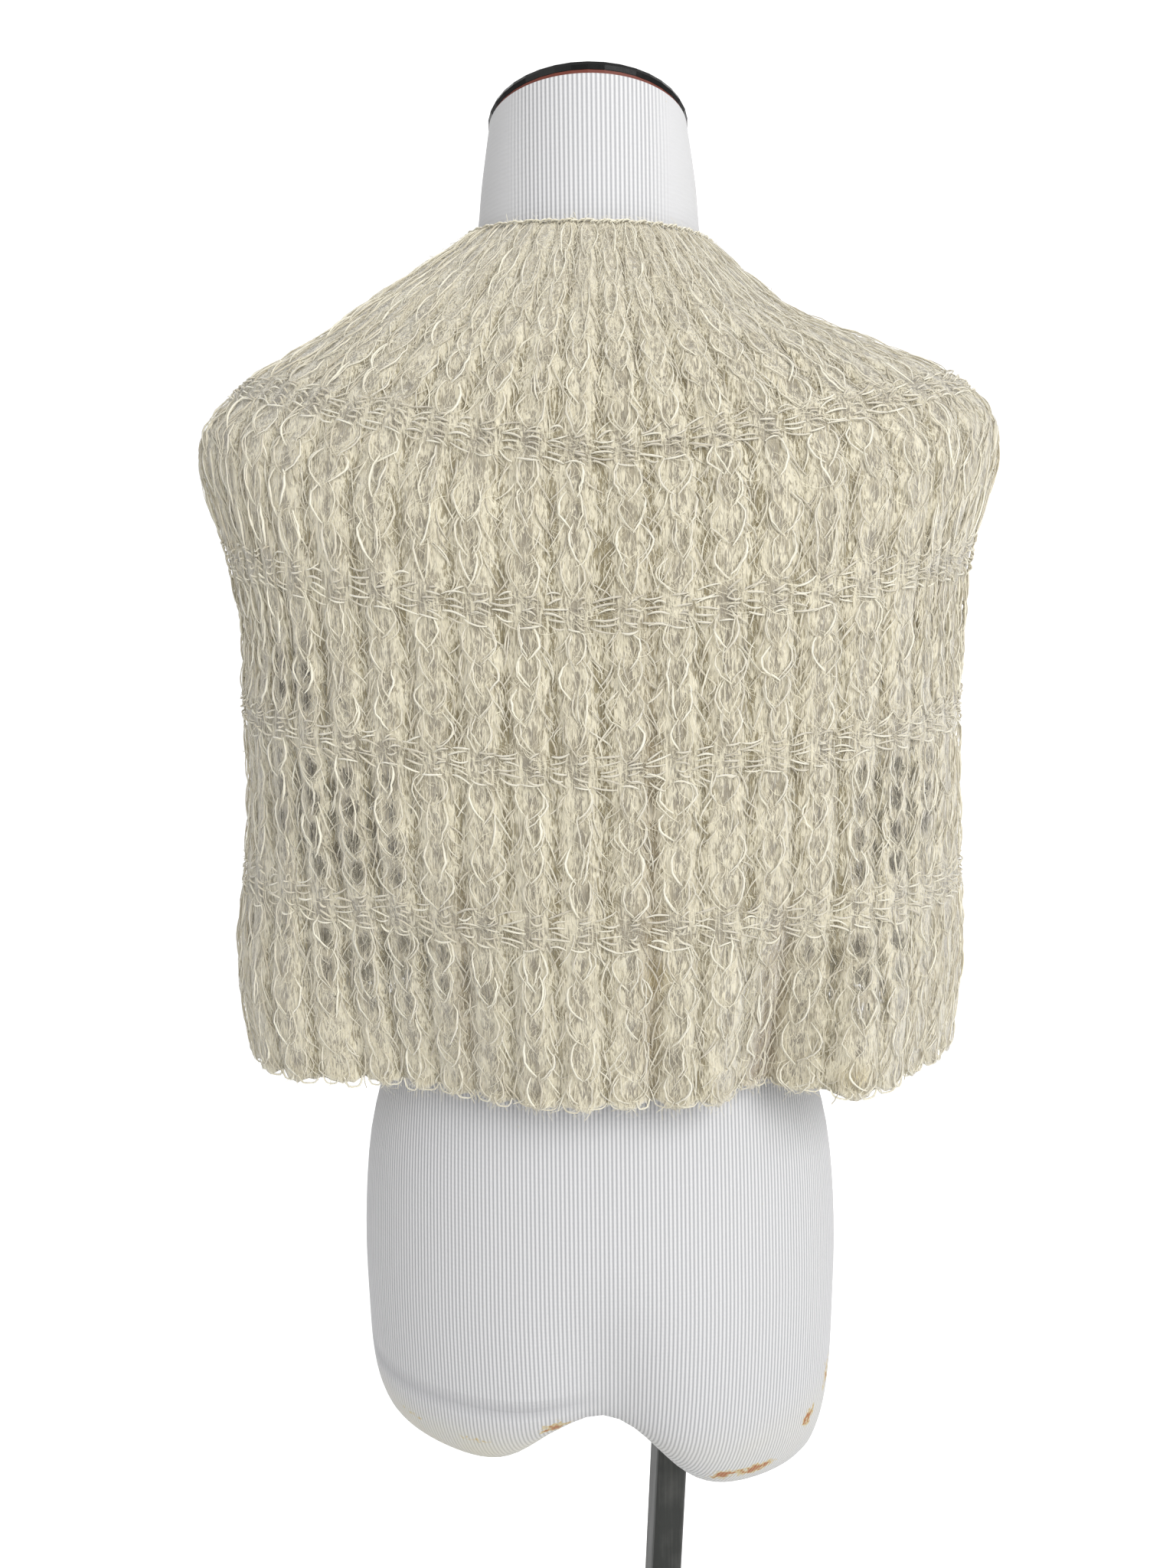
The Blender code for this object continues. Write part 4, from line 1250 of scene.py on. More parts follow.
@dataclass
class KnittedPanel:
    """One panel of the jerkin with all of its yarn."""

    surface: PanelSurface
    airy: tuple[Patch, ...]
    # Old stains, and painted shade in fold valleys
    stains_and_shade: tuple[Patch, ...]
    plies: tuple[Ply, ...]
    halo_layers: tuple[HaloLayer, ...]
    seed: int
    shades: tuple[Patch, ...] = ()
    cells_per_column: int = 8
    web_rows: int = 176
    rung_turns: tuple[float, ...] = (-1.0, 1.0, -1.0, 1.0)
    lay: YarnLay = YarnLay()
    shape: YarnShape = YarnShape()
    marks: WebMarks = WebMarks()
    web_sink: float = 0.0006
    web_wall: float = 0.0012
    swell: float = 0.0008
    swell_cells: int = 3
    side_calm: float = 0.05
    hem_scallop: float = 0.07
    loop_dip: float = 0.0013
    loop_half: float = 0.34
    gap_half: float = 0.30
    hole_round: float = 0.7
    groove_dip: float = 0.0012
    groove_from: float = 4.0
    groove_rows: float = 1.5
    strand: float = 0.00062
    neck_girth: float = 0.62
    neck_girth_rows: float = 3.2
    bow: float = 0.27
    band_stack: int = 6
    neck_stitches: int = 3
    hem_loops: int = 2
    side_pitch: float = 0.14
    side_lanes: Span = (0.05, 0.22)

    def __post_init__(self) -> None:
        """Start the panel's own random draws."""
        self.knit = self.surface.knit
        self.name = self.surface.side.value
        self.random = np.random.default_rng(self.seed)
        self.column_slip = self.draw(self.lay.column_slip, self.knit.columns + 1)

    def draw(self, span: Span, *shape: int) -> np.ndarray:
        """Draw even random numbers from the least to the greatest of a span."""
        return self.random.uniform(*span, shape)

    def slip_at(self, column: np.ndarray) -> np.ndarray:
        """How far down the loops at a place across have slipped, in rows."""
        return np.interp(column, np.arange(self.knit.columns + 1), self.column_slip)

    def on_knit(self, column: np.ndarray, row: np.ndarray, rise: np.ndarray) -> np.ndarray:
        """Place points on the outside of the knit by column and row, a little off it."""
        share = np.clip(self.knit.share_at(column), -1.0, 1.0)
        return self.surface.place(share, row, self.surface.web_off(share, row) + rise)

    def slimmer_at_neck(self, row: np.ndarray) -> np.ndarray:
        """How much thinner a strand is drawn where the columns crowd together at the neck."""
        return self.neck_girth + (1.0 - self.neck_girth) * np.clip(row / self.neck_girth_rows, 0.0, 1.0)

    def web(self, material: bpy.types.Material) -> bpy.types.Object:
        """Make the haze that fills the knit: a thin wall, ribbed and crossed by the bands.

        Args:
            material: The haze's finish.

        Returns:
            The piece.
        """
        across = self.knit.columns * self.cells_per_column + 1
        shares = np.linspace(-1.0, 1.0, across)[None, :]
        rows = np.linspace(0.0, self.knit.last_row, self.web_rows + 1)[:, None]
        crest = np.sin(math.pi * (self.knit.column_phase(shares) % 1.0)) ** 2
        hem = np.clip(rows - (self.knit.last_row - 1.0), 0.0, 1.0) ** 4
        rows = rows + hem * (self.hem_scallop * crest + self.draw(self.lay.hem_stray, 1, across))
        shares = np.broadcast_to(shares, rows.shape)
        off = self.surface.web_off(shares, rows) - self.web_sink + self._puff(shares, rows)
        points = self.surface.place(shares, rows, off)
        mesh = bpy.data.meshes.new(f"knit_web_{self.name}")
        faces = grid_faces(*points.shape[:2])
        if self.surface.side is Side.FRONT:
            faces = faces[:, ::-1]
        mesh.from_pydata(points.reshape(-1, 3).tolist(), [], faces.tolist())
        self._mark(mesh, shares, rows, points)
        mesh.shade_smooth()
        mesh.materials.append(material)
        return link_object(mesh.name, mesh)

    def _inside_loop(self, shares: np.ndarray, rows: np.ndarray) -> np.ndarray:
        """How near the middle of a loop each place lies, from 0 to 1."""
        column = self.knit.column_phase(shares)
        aside = (column % 1.0) - 0.5
        phase = self.knit.loop_phase(rows - self.slip_at(column))
        return hump(aside / self.loop_half) * np.sin(math.pi * np.clip(phase, 0.0, 1.0)) ** self.hole_round

    def _between_columns(self, shares: np.ndarray, rows: np.ndarray) -> np.ndarray:
        """How near the middle of a gap between two columns each place lies, from 0 to 1."""
        aside = ((self.knit.column_phase(shares) + 0.5) % 1.0) - 0.5
        phase = (self.knit.loop_phase(rows) + 0.5) % 1.0
        return hump(aside / self.gap_half) * np.sin(math.pi * phase) ** self.hole_round

    def _puff(self, shares: np.ndarray, rows: np.ndarray) -> np.ndarray:
        """Swell the web unevenly, dip it in loops and between ribs, and leave its edges alone."""
        step, (down, across) = self.swell_cells, shares.shape
        coarse = self.draw((-1.0, 1.0), down // step + 2, across // step + 2)
        rough = coarse.repeat(step, axis=0).repeat(step, axis=1)[:down, :across]
        for axis in (0, 1):
            rough = (np.roll(rough, 1, axis) + rough + np.roll(rough, -1, axis)) / 3.0
        calm = np.clip((1.0 - np.abs(shares)) / self.side_calm, 0.0, 1.0)
        grown = np.clip(rows / self.knit.neck_rib_rows, 0.3, 1.0)
        crest = np.sin(math.pi * (self.knit.column_phase(shares) % 1.0))
        free = np.clip((rows - self.groove_from) / self.groove_rows, 0.0, 1.0)
        free = free * (1.0 - self.knit.band_at(rows))
        loops = self.loop_dip * grown * self._inside_loop(shares, rows)
        grooves = self.groove_dip * free * (1.0 - crest) ** 1.5
        return (self.swell * rough - (loops + grooves)) * calm

    def _mark(self, mesh: bpy.types.Mesh, shares: np.ndarray, rows: np.ndarray, points: np.ndarray) -> None:
        """Keep on the web what its haze and its halo need to know of each place."""
        m = self.marks
        column = self.knit.column_phase(shares)
        crest = np.sin(math.pi * (column % 1.0))
        band = self.knit.band_at(rows)
        inside = self._inside_loop(shares, rows)
        airy = patch_strength(self.airy, shares, rows)
        shaded = patch_strength(self.shades, shares, rows)
        gaps = np.maximum(inside, m.gap_share * self._between_columns(shares, rows))
        near_neck = np.clip(m.neck_reach - rows / m.neck_rows, 0.0, 1.0)
        # Low along the side seams, where the panel turns away: painted shade
        low_side = np.clip((np.abs(shares) - m.side_from) / (1.0 - m.side_from), 0.0, 1.0)
        low_side = low_side * np.clip((rows - m.side_row) / m.side_rows, 0.0, 1.0)
        off_bow = np.abs((column % 1.0) - 0.5) - self.bow
        # Painted shade between the ribs
        valley = (1.0 - crest) * m.valley_gain - m.valley_in_band * band - m.valley_at_neck * near_neck
        past = rows - self.knit.last_row + m.fringe_hem
        fringe = np.clip(1.0 - rows / m.fringe_neck, 0.0, 1.0) + np.clip(past / m.fringe_hem, 0.0, 1.0)
        crowd = m.plain_crowd + m.crest_crowd * crest - m.inside_crowd * inside
        crowd = crowd * (1.0 - m.airy_crowd * airy) * (1.0 + m.fringe_crowd * fringe)
        numbers = {
            "valley": np.clip(valley, 0.0, 1.0),
            "rim": hump(off_bow / m.rim_half) * (1.0 - m.rim_in_band * band),
            # hollow: painted shade in the middles of the loops and in the bands
            "hollow": np.maximum(inside * (1.0 - m.hollow_at_neck * near_neck), m.hollow_in_band * band),
            # Old stains, and painted shade in two fold valleys
            "stain_and_shade": patch_strength(self.stains_and_shade, shares, rows),
            # edge: painted shade low along the side seams and in the fold valleys
            "edge": np.maximum(m.side_shade * low_side, shaded),
            "airy": airy * (m.airy_least + (1.0 - m.airy_least) * gaps) * (1.0 - m.airy_in_band * band),
            "crowd": crowd * (1.0 - m.shade_crowd * shaded),
        }
        for name, values in numbers.items():
            keep_numbers(mesh, name, values.ravel())
        down = unit(np.gradient(points, axis=0))
        sideways = unit(np.gradient(points, axis=1))
        phase = m.slant_from + (1.0 - m.slant_from) * self.knit.loop_phase(rows)
        slant = m.slant * np.sign((column % 1.0) - 0.5) * np.cos(math.pi * phase) * (1.0 - band)
        run = down * (1.0 - m.run_in_band * band[..., None]) + sideways * (slant + band)[..., None]
        keep_numbers(mesh, "run", unit(run).reshape(-1, 3))

    def _every_loop(self, columns: np.ndarray) -> tuple[np.ndarray, np.ndarray, np.ndarray]:
        """List the column, first row and last row of every loop in a set of columns."""
        spans = self.knit.loop_spans()
        column, start = (grid.ravel() for grid in np.meshgrid(columns, spans[:, 0]))
        _, end = (grid.ravel() for grid in np.meshgrid(columns, spans[:, 1]))
        slip = self.slip_at(column)
        return column, start + slip, end + slip

    def chains(self) -> Strands:
        """Lay the chain of loops down each column: two legs that bow out and meet at the foot."""
        column, start, end = self._every_loop(np.arange(self.knit.columns) + 0.5)
        count = len(column)
        strands = Strands()
        column = column + self.draw(self.lay.loop_aside, count)
        width = self.bow * self.draw(self.lay.loop_width, count)
        slip = self.draw(self.lay.loop_slip, count)
        start, end = start + slip, end + slip
        for turn in (-1.0, 1.0):
            for ply in self.plies:
                shown = self.draw((0.0, 1.0), count) < ply.share
                aside = self.draw((-ply.spread, ply.spread), count)[shown]
                self._legs(strands, turn, (column[shown], start[shown] + aside, end[shown] + aside),
                           width[shown] + aside, ply)
        return strands

    def _legs(self, strands: Strands, turn: float, loops: tuple[np.ndarray, np.ndarray, np.ndarray],
              width: np.ndarray, ply: Ply) -> None:
        """Lay one ply of one leg of each loop.

        Args:
            strands: Takes the plies.
            turn: -1 for the leg at the wearer's left, 1 for the right.
            loops: The middle of each loop in columns, and the rows where it and the next loop start.
            width: How far the leg bows out, in columns.
            ply: Which of the leg's strands is laid.
        """
        column, start, end = loops
        lay, shape, count = self.lay, self.shape, len(column)
        steps = shape.leg_points
        t = np.linspace(0.0, 1.0, steps)[None, :]
        lead = self.draw(lay.leg_lead, count, 1)
        foot, more = shape.leg_foot
        bow = foot + more * np.abs(np.sin(math.pi * (lead + (1.0 - lead) * t))) ** 0.9
        bow = bow * (1.0 + self.draw(lay.leg_bulge, count, 1) * np.sin(math.pi * t))
        kink = np.cumsum(self.draw(lay.leg_kink, count, steps), axis=1)
        kink = kink + self.draw(lay.leg_shake, count, steps)
        across = column[:, None] + turn * width[:, None] * bow + kink
        length = (end - start)[:, None] * self.draw(lay.leg_length, count, 1)
        row = start[:, None] - shape.leg_overlap + length * t + self.draw(lay.leg_slip, count, steps)
        tuck = np.abs(np.sin(math.pi * np.clip(0.08 + 0.86 * t, 0.0, 1.0))) ** 0.8
        rise = shape.leg_rise[0] + shape.leg_rise[1] * tuck * self.draw(lay.leg_rise, count, 1)
        tone = self.draw(lay.leg_tone, count) * (1.0 - ply.dimming)
        ends, more = shape.leg_girth
        girth = self.strand * ply.girth * (ends + more * np.sin(math.pi * (t * 0.9 + 0.05)))
        ends, more = shape.leg_girth_by_tone
        girth = girth * (ends + more * tone[:, None])
        girth = girth * self.draw(lay.leg_girth, count, steps)
        strands.lay(self.on_knit(across, row, rise), girth * self.slimmer_at_neck(row), tone)

    def rungs(self) -> Strands:
        """Lay the slack strands between the columns: short, slanted and half sunk in the down."""
        strands, lay, shape = Strands(), self.lay, self.shape
        t = np.linspace(-1.0, 1.0, shape.rung_points)[None, :]
        for turn in self.rung_turns:
            column, start, end = self._every_loop(np.arange(1, self.knit.columns).astype(float))
            count = len(column)
            middle = column[:, None] + turn * self.draw(lay.rung_aside, count, 1)
            reach = self.draw(lay.rung_reach, count, 1)
            climb = self.draw(lay.rung_climb, count, 1)
            bend = arched(0.0, self.draw(lay.rung_bend, count, 1), t)
            row = start[:, None] + (end - start)[:, None] * self.draw((0.0, 1.0), count, 1) + climb * t
            across = middle - turn * reach * t + bend
            rise = arched(shape.rung_rise[0], shape.rung_rise[1] * self.draw(lay.rung_rise, count, 1), t)
            tone = self.draw(lay.rung_tone, count) ** 1.5
            girth = self.strand * arched(*shape.rung_girth, t) * self.draw(lay.rung_girth, count, 1)
            strands.lay(self.on_knit(across, row, rise), girth * self.slimmer_at_neck(row), tone)
        return strands

    def bands(self) -> Strands:
        """Lay the tight bands: stacks of short level strands at each column, and a bright one under each."""
        strands = Strands()
        for band in self.knit.bands:
            for level in np.linspace(-0.5, 0.5, self.band_stack):
                for kind in BAND_STACK:
                    self._band_strands(strands, band, level, kind)
            self._band_strands(strands, band, 1.0, BAND_FOOT)
        return strands

    def _band_strands(self, strands: Strands, band: float, level: float, kind: BandStrand) -> None:
        """Lay one short level strand at each column.

        Args:
            strands: Takes the strands.
            band: The band's row.
            level: How far down its stack the strand lies, from -0.5 to 0.5, or 1 for the foot.
            kind: The strand's sizes, of which its place down and its lean grow with the level.
        """
        lay, shape, count = self.lay, self.shape, self.knit.columns
        t = np.linspace(-1.0, 1.0, shape.short_points)[None, :]
        column = np.arange(count)[:, None] + 0.5 + kind.aside + self.draw(lay.band_aside, count, 1)
        bend = arched(0.0, self.draw(lay.band_bend, count, 1), t)
        rows = band + kind.down * level + self.slip_at(column) * 0.5 + self.draw(lay.band_slip, count, 1)
        rows = rows + bend + (kind.lean * level + self.draw(lay.band_lean, count, 1)) * t
        across = column + self.draw(kind.reach, count, 1) * t
        ends, more = shape.band_rise
        rise = ends + more * (1.0 - np.abs(t) ** 2.5) * self.draw(lay.band_rise, count, 1)
        girth = self.strand * arched(*shape.band_girth, t) * self.draw(lay.band_girth, count, 1)
        strands.lay(self.on_knit(across, rows, rise), girth, self.draw(kind.tone, count))

    def edges(self) -> Strands:
        """Lay the bound-off chain at the neck, the cast-on loops at the hem and the armhole's chain."""
        strands = Strands()
        self._neck_chain(strands)
        self._hem_loops(strands)
        self._side_chain(strands)
        return strands

    def _neck_chain(self, strands: Strands) -> None:
        """Lay small slanted stitches along the neck edge."""
        lay, shape, count = self.lay, self.shape, self.knit.columns * self.neck_stitches
        middle = (np.arange(count) + 0.5) / self.neck_stitches
        t = np.linspace(-1.0, 1.0, shape.short_points)[None, :]
        for turn, sink in ((-1.0, shape.neck_sink), (1.0, 0.0)):
            across = middle[:, None] + shape.neck_reach * t + self.draw(lay.neck_aside, count, 1)
            slant = turn * shape.neck_slant * (1.0 - 0.5 * (t + 1.0))
            row = shape.neck_row + slant + self.draw(lay.neck_slip, count, 1)
            rise = arched(*shape.neck_rise, t) - sink
            girth = self.strand * arched(*shape.neck_girth, t)
            strands.lay(self.on_knit(across, row, rise), girth, self.draw(lay.neck_tone, count))

    def _hem_loops(self, strands: Strands) -> None:
        """Hang uneven loops from the hem, most of them at the wearer's left."""
        lay, shape, count = self.lay, self.shape, self.knit.columns * self.hem_loops
        middle = (np.arange(count) + 0.5) / self.hem_loops
        t = np.linspace(-1.0, 1.0, shape.hem_points)[None, :]
        rightward = middle / self.knit.columns * shape.hem_right_fall
        left = np.clip(shape.hem_left_drop - rightward, shape.hem_right_drop, 1.0)[:, None]
        drop = (shape.hem_drop[0] + shape.hem_drop[1] * left) * self.draw(lay.hem_drop, count, 1)
        across = middle[:, None] + self.draw(lay.hem_width, count, 1) * t * (1.0 - 0.15 * t ** 2)
        row = self.knit.last_row - shape.hem_overlap + (drop + shape.hem_overlap) * (1.0 - t ** 4)
        rise = self.draw(lay.hem_rise, count, 1) + 0.0 * t
        girth = self.strand * self.draw(lay.hem_girth, count, 1)
        strands.lay(self.on_knit(across, row, rise), girth, self.draw(lay.hem_tone, count))

    def _side_chain(self, strands: Strands) -> None:
        """Lay a chain along both side edges, where it ties the seam or rounds the armhole."""
        shape = self.shape
        rows = np.arange(0.12, self.knit.last_row - 0.1, self.side_pitch)
        t = np.linspace(-1.0, 1.0, shape.short_points)[None, :]
        for end, inward in ((0.0, 1.0), (float(self.knit.columns), -1.0)):
            for lane in self.side_lanes:
                aside = arched(lane, shape.side_bow, t) + self.draw(self.lay.side_aside, len(rows), 1)
                rise = arched(*shape.side_rise, t) + 0.0 * aside
                girth = self.strand * arched(*shape.side_girth, t)
                points = self.on_knit(end + inward * aside, rows[:, None] + shape.side_reach * t, rise)
                strands.lay(points, girth, self.draw(self.lay.side_tone, len(rows)))

    def halo(self, web: bpy.types.Object, tree: HaloTree,
             material: bpy.types.Material) -> list[bpy.types.Object]:
        """Grow the mohair halo from the web, before the web gets its wall.

        Args:
            web: The panel's web.
            tree: The tree that grows the fibres.
            material: The fibres' finish.

        Returns:
            One piece for each layer of fibres.
        """
        pieces = []
        for index, layer in enumerate(self.halo_layers):
            thing = link_object(f"halo_{self.name}_{index + 1}", web.data.copy())
            thing.data.materials.clear()
            tree.run(thing, Density=layer.density, Length=layer.length, Width=layer.width, Spread=1.2,
                     Lift=0.55, Seed=self.seed + index, Material=material)
            pieces.append(thing)
        return pieces

    def thicken(self, web: bpy.types.Object) -> None:
        """Give the web its wall, inwards from its outer face."""
        wall = web.modifiers.new("wall", "SOLIDIFY")
        wall.thickness = self.web_wall
        wall.offset = -1.0
        plain_mesh(web)

    def build(self, trees: tuple[StrandTree, HaloTree],
              finishes: dict[str, bpy.types.Material]) -> list[bpy.types.Object]:
        """Args:
            trees: The trees that make strands and fibres.
            finishes: The materials of haze, yarn and halo.

        Returns:
            The panel's pieces, its web first.
        """
        strand_tree, halo_tree = trees
        web = self.web(finishes["haze"])
        pieces = [web] + self.halo(web, halo_tree, finishes["halo"])
        self.thicken(web)
        laid = {"chains": self.chains(), "rungs": self.rungs(), "bands": self.bands(), "edges": self.edges()}
        for kind, strands in laid.items():
            pieces.append(strands.build(f"yarn_{kind}_{self.name}", strand_tree, finishes["yarn"]))
        for piece in pieces:
            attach(piece, BODY)
        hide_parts(f"{self.name}_panel")
        length = self.surface.middle_length()
        width = max(self.surface.width_at(row) for row in range(12))
        min(self.surface.area(), width * length)
        return pieces


@dataclass
class DressForm:
    """The limbless form: a jersey-covered torso with a cap, a brown board, a pole and a plate."""

    offset_x: float = 0.0040
    across: int = 128
    finer: int = 4
    seat_valley: float = 0.0085
    seat_valley_width: float = 0.028
    seat_valley_up: float = 0.415
    seat_valley_reach: float = 0.085
    lobe_lift: float = 0.0075
    lobe_from: float = 0.050
    row_sag: float = 1.25
    arch_width: float = 0.040
    arch_tuck: float = 0.65
    pole_top_x: float = -0.0435
    pad_radius: float = 0.0230
    pad_up: float = 0.3170
    back_from: float = 0.03
    lobe_fall: float = 0.06
    sharp_degrees: float = 55.0
    rib_pitch: float = 0.00245
    wear_up: float = 0.385
    wear_fall: float = 0.03
    wear_right: float = 0.3
    wear_right_to: float = 0.02
    neck_up: float = 1.0
    plain_from: float = 0.032
    plain_over: float = 0.012

    def loops(self) -> np.ndarray:
        """List the form's sections from the neck top to the pad over the pole.

        Returns:
            Sections by points by coordinates.
        """
        angle = np.linspace(0.0, math.tau, self.across, endpoint=False)
        table = np.array([ring[1:] for ring in FORM_UPPER_RINGS])
        sizes = read_table(table, np.arange(2 * len(FORM_UPPER_RINGS) - 1) / 2.0)
        upper = ring_points(sizes[:, None, :], angle[None, :], self.row_sag)
        upper[..., 0] += self.offset_x
        lower = np.array([self._lower_loop(ring, angle) for ring in FORM_LOWER_RINGS])
        pad = np.stack([self.pole_top_x - self.pad_radius * np.sin(angle), self.pad_radius * np.cos(angle),
                        np.full_like(angle, self.pad_up)], axis=-1)
        return np.concatenate([upper, lower, pad[None]])

    def _lower_loop(self, ring: FormRing, angle: np.ndarray) -> np.ndarray:
        """Place one level section, with the arch in its lower edge."""
        across, along = np.sin(angle), np.cos(angle)
        power = 2.0 / ring.square
        x = -np.sign(across) * ring.side_out * np.abs(across) ** power
        y = np.where(along >= 0.0, ring.back_out, -ring.front_out) * np.abs(along) ** power
        arch = ring.arch * np.exp(-(x / self.arch_width) ** 2)
        tucked = y - np.sign(y) * np.minimum(self.arch_tuck * arch, np.abs(y))
        lift = ring.left_lift * (x / ring.side_out)
        return np.stack([x + self.offset_x, tucked, ring.up + arch + lift], axis=-1)

    def cover(self, material: bpy.types.Material) -> bpy.types.Object:
        """Make the jersey cover as one smooth closed skin on the form's sections.

        Args:
            material: The jersey's finish.

        Returns:
            The piece.
        """
        coarse = self.loops()
        steps = (len(coarse) - 1) * self.finer + 1
        points = read_table(coarse, np.linspace(0.0, len(coarse) - 1, steps))
        from_middle = points[..., 0] - self.offset_x
        aside = np.exp(-(from_middle / self.seat_valley_width) ** 2)
        level = hump((points[..., 2] - self.seat_valley_up) / self.seat_valley_reach)
        points[..., 1] -= np.where(points[..., 1] > self.back_from, self.seat_valley * aside * level, 0.0)
        leftward = np.sin(np.clip(from_middle / self.lobe_from, 0.0, 1.0) * math.pi / 2.0) ** 2
        low = np.clip((self.seat_valley_up - points[..., 2]) / self.lobe_fall, 0.0, 1.0)
        points[..., 2] += self.lobe_lift * leftward * low
        faces = grid_faces(*points.shape[:2], closed=True)
        top = list(range(self.across))[::-1]
        bottom = list(range((steps - 1) * self.across, steps * self.across))
        mesh = bpy.data.meshes.new("dress_form")
        mesh.from_pydata(points.reshape(-1, 3).tolist(), [], faces[:, ::-1].tolist() + [top, bottom])
        self._rib_map(mesh, points, faces[:, ::-1])
        self._mark_wear(mesh, points)
        mesh.shade_smooth()
        mesh.set_sharp_from_angle(angle=math.radians(self.sharp_degrees))
        mesh.materials.append(material)
        return link_object("dress_form", mesh)

    def _rib_map(self, mesh: bpy.types.Mesh, points: np.ndarray, faces: np.ndarray) -> None:
        """Map the ribs: they run straight down from the middle of the back and of the front."""
        loop = np.concatenate([points, points[:, :1]], axis=1)
        lengths = np.linalg.norm(np.diff(loop, axis=1), axis=2)
        round_to = np.concatenate([np.zeros((len(points), 1)), np.cumsum(lengths, axis=1)], axis=1)
        half, whole = self.across // 2, self.across
        reach = round_to[:, :whole]
        from_front = reach - round_to[:, half:half + 1]
        wrapped = np.where(np.arange(whole)[None, :] > half, reach - round_to[:, whole:], reach)
        column = faces % whole
        front = ((column > whole // 4) & (column < 3 * whole // 4)).any(axis=1)
        line = faces // whole
        u = np.where(front[:, None], from_front[line, column], wrapped[line, column]) / self.rib_pitch
        v = points[line, column, 2] / self.rib_pitch
        layer = mesh.uv_layers.new(name="ribs")
        corners = np.zeros((len(mesh.loops), 2), dtype=np.float32)
        corners[:u.size] = np.stack([u.ravel(), v.ravel()], axis=1)
        layer.data.foreach_set("uv", corners.ravel())

    def _mark_wear(self, mesh: bpy.types.Mesh, points: np.ndarray) -> None:
        """Keep where the ribs fade, where the cover is soiled and where rust and old glue show."""
        flat = points.reshape(-1, 3)
        left = self.wear_right + (1.0 - self.wear_right) * (flat[:, 0] > self.wear_right_to)
        wear = np.clip((self.wear_up - flat[:, 2]) / self.wear_fall, 0.0, 1.0) * left
        rust = np.zeros(len(flat))
        for spot in RUST_SPOTS:
            distance = np.linalg.norm((flat - np.array(spot.place)) / np.array(spot.reach), axis=1)
            rust = np.maximum(rust, spot.strength * np.clip(1.4 - distance, 0.0, 1.0))
        aside = np.abs(flat[:, 0] - self.offset_x) - self.plain_from
        plain = np.clip(aside / self.plain_over, 0.0, 1.0) * (flat[:, 2] > self.neck_up)
        keep_numbers(mesh, "plain", plain)
        keep_numbers(mesh, "wear", wear)
        keep_numbers(mesh, "rust", rust)

    def build(self, finishes: dict[str, bpy.types.Material]) -> list[bpy.types.Object]:
        """Build the cover, and dress the cap, board, pole and plate.

        Args:
            finishes: The materials by the name of what they cover.

        Returns:
            The new pieces.
        """
        cover = self.cover(finishes["jersey"])
        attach(cover, BODY)
        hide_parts("form_torso")
        for node in ("neck_cap", "neck_strip", "pole", "base_plate"):
            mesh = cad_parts[node].data
            mesh.materials.clear()
            mesh.materials.append(finishes[node])
        return [cover]


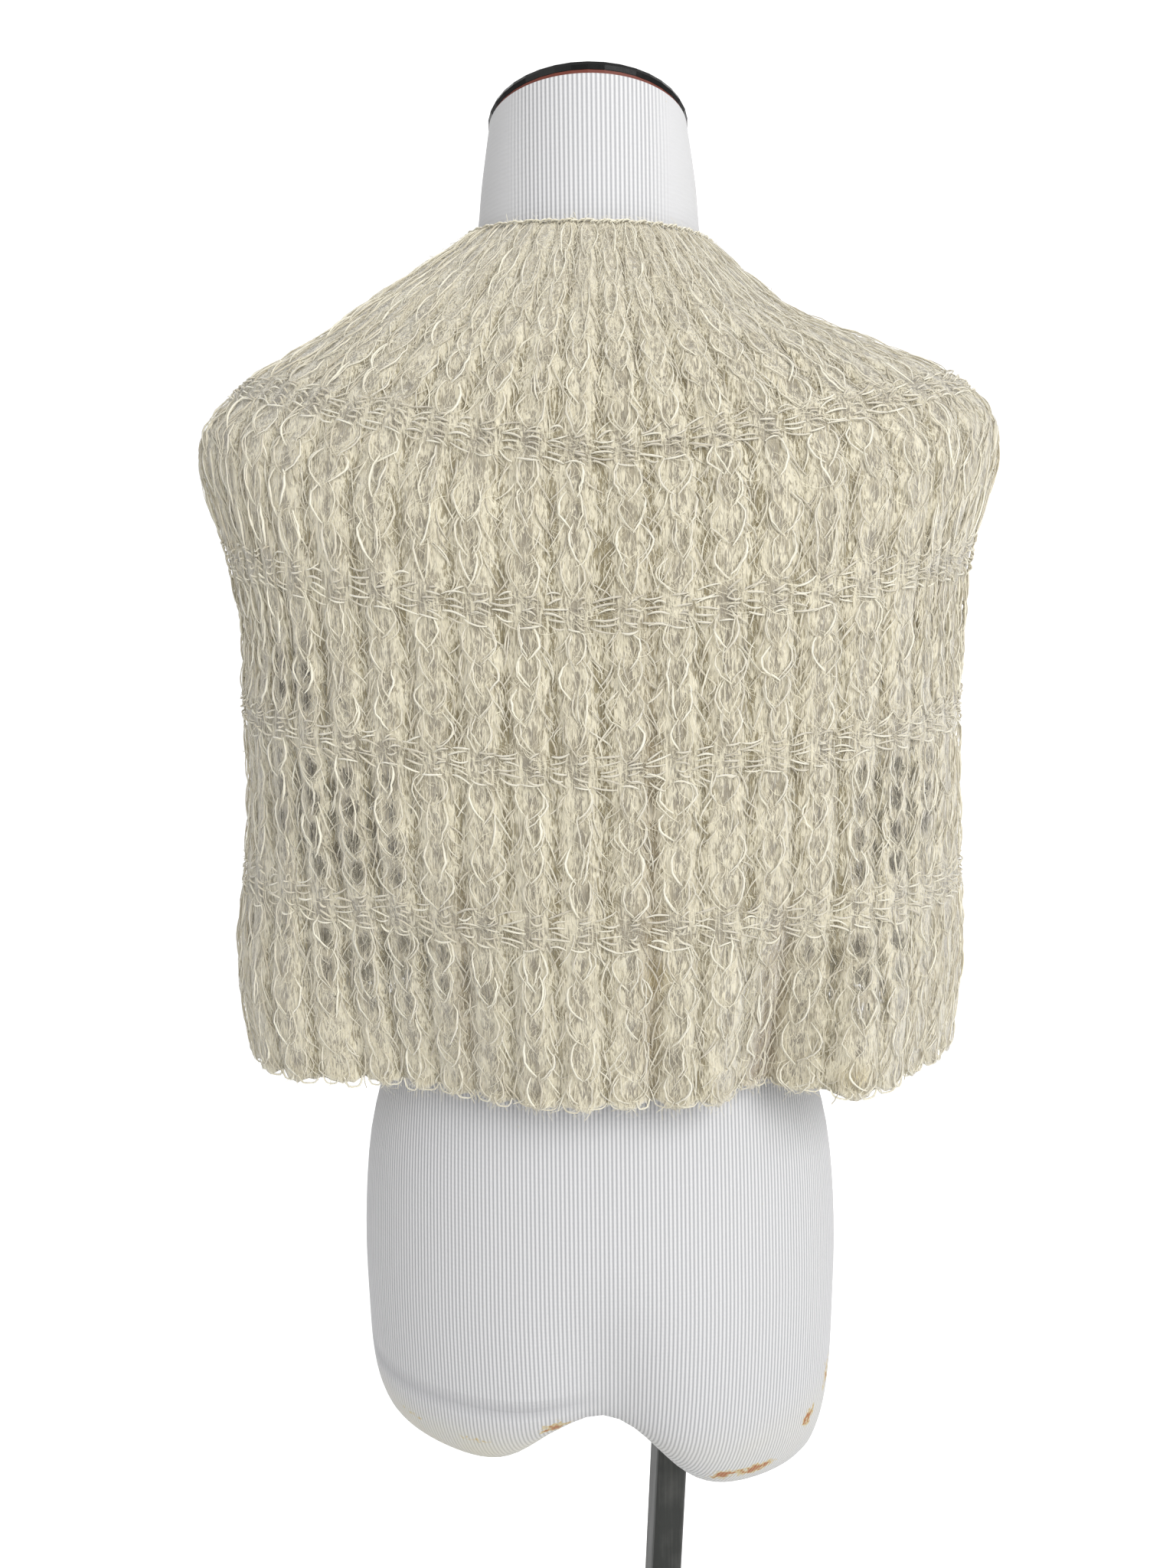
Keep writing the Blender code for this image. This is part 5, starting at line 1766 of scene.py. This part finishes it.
@dataclass(frozen=True)
class Studio:
    """The pale floor and backdrop, soft lights and the camera behind the jerkin."""

    camera_place: Triple = (0.0084, 0.72, 0.88)
    camera_pitch: float = math.radians(10.2)
    camera_roll: float = 0.0121
    camera_lens: float = 27.053
    floor_size: float = 6.0
    sweep_radius: float = 1.0
    glow: float = 0.62
    glow_from: float = 0.10
    glow_over: float = 0.30
    floor_tones: Span = (0.80, 0.83)
    world: float = 0.46
    lamp_size: float = 1.5
    lamps_aim: Triple = (0.0, 0.0, 0.8)
    key: float = 46.0
    key_place: Triple = (-1.25, 1.8, 1.9)
    fill: float = 7.0
    fill_place: Triple = (1.5, 1.6, 1.4)

    def camera(self) -> None:
        """Set the camera level with the lower back, looking a little down on it."""
        pitch, roll = self.camera_pitch, self.camera_roll
        forward = Vector((0.0, -math.cos(pitch), -math.sin(pitch)))
        up = Vector((0.0, -math.sin(pitch), math.cos(pitch)))
        right = Vector((-1.0, 0.0, 0.0))
        rolled_right = right * math.cos(roll) - up * math.sin(roll)
        rolled_up = up * math.cos(roll) + right * math.sin(roll)
        data = bpy.data.cameras.new("camera")
        data.lens = self.camera_lens
        data.clip_start = 0.01
        thing = bpy.data.objects.new("camera", data)
        turn = Matrix((rolled_right, rolled_up, -forward)).transposed().to_4x4()
        thing.matrix_world = Matrix.Translation(Vector(self.camera_place)) @ turn
        bpy.context.scene.collection.objects.link(thing)
        bpy.context.scene.camera = thing

    def backdrop(self) -> None:
        """Lay a pale floor that sweeps up behind the object."""
        half = self.floor_size / 2.0
        arc = [(-half - self.sweep_radius * math.sin(a), self.sweep_radius * (1.0 - math.cos(a)))
               for a in np.linspace(0.0, math.pi / 2.0, 12)]
        profile = [(half, 0.0)] + arc + [(arc[-1][0], self.floor_size)]
        points = [(side * half * 1.5, y, z) for y, z in profile for side in (1.0, -1.0)]
        faces = [(2 * i, 2 * i + 1, 2 * i + 3, 2 * i + 2) for i in range(len(profile) - 1)]
        mesh = bpy.data.meshes.new("floor")
        mesh.from_pydata(points, [], faces)
        mesh.shade_smooth()
        material, s, shader = new_finish("pale floor", 0.9)
        darker, paler = ((tone, tone, tone) for tone in self.floor_tones)
        colour = s.blend(s.noise((3.0, 3.0, 3.0), 2.0), darker, paler)
        place = s.feed(s.add("ShaderNodeSeparateXYZ"), Vector=s.add("ShaderNodeTexCoord").outputs["Object"])
        start = self.glow_from / self.glow_over
        behind = s.math("MULTIPLY_ADD", place.outputs["Y"], -1.0 / self.glow_over, start, clamp=True)
        s.feed(shader, Base_Color=colour, Emission_Color=(1.0, 1.0, 1.0, 1.0),
               Emission_Strength=s.math("MULTIPLY", behind, self.glow))
        mesh.materials.append(material)
        link_object("floor", mesh)

    def lights(self) -> None:
        """Hang two large soft lamps and fill the room with even light."""
        world = bpy.data.worlds.new("room")
        world.use_nodes = True
        world.node_tree.nodes["Background"].inputs["Color"].default_value = (1.0, 1.0, 1.0, 1.0)
        world.node_tree.nodes["Background"].inputs["Strength"].default_value = self.world
        bpy.context.scene.world = world
        self._lamp("key", self.key_place, self.key)
        self._lamp("fill", self.fill_place, self.fill)

    def _lamp(self, name: str, place: Triple, power: float) -> None:
        """Hang one square lamp that faces the jerkin."""
        data = bpy.data.lights.new(name, "AREA")
        data.size = self.lamp_size
        data.energy = power
        thing = bpy.data.objects.new(name, data)
        thing.location = place
        aim = Vector(self.lamps_aim) - Vector(place)
        thing.rotation_euler = aim.to_track_quat("-Z", "Y").to_euler()
        bpy.context.scene.collection.objects.link(thing)


def main() -> None:
    """Build the studio, the form and the jerkin, and report each piece."""
    logging.basicConfig(level=logging.INFO, format="%(message)s")
    bpy.context.scene.view_settings.view_transform = "Standard"
    studio = Studio()
    studio.camera()
    studio.backdrop()
    studio.lights()
    hard = {"neck_cap": LACQUER, "neck_strip": BOARD, "pole": STEEL, "base_plate": IRON}
    finishes = {name: finish.build() for name, finish in hard.items()}
    finishes["jersey"] = JerseyFinish().build()
    finishes["haze"] = HazeFinish().build()
    finishes["yarn"] = StrandFinish().build()
    finishes["halo"] = StrandFinish("mohair halo", (0.54, 0.483, 0.352), (0.94, 0.89, 0.715)).build()
    pieces = DressForm().build(finishes)
    trees = (StrandTree(), HaloTree())
    knit = Knit()
    back = KnittedPanel(PanelSurface(Side.BACK, knit, BACK_FOLDS), BACK_AIRY, BACK_STAINS_AND_SHADE, BACK_PLIES,
                        BACK_HALO, seed=11, shades=BACK_SHADES)
    front = KnittedPanel(PanelSurface(Side.FRONT, knit, FRONT_FOLDS), FRONT_AIRY, FRONT_STAINS, FRONT_PLIES,
                         FRONT_HALO, seed=23, cells_per_column=6, web_rows=110, rung_turns=(-1.0, 1.0))
    pieces += back.build(trees, finishes) + front.build(trees, finishes)
    for piece in pieces:
        piece.data.calc_loop_triangles()
        LOG.info("%s: %d triangles", piece.name, len(piece.data.loop_triangles))


if __name__ == "__main__":
    main()
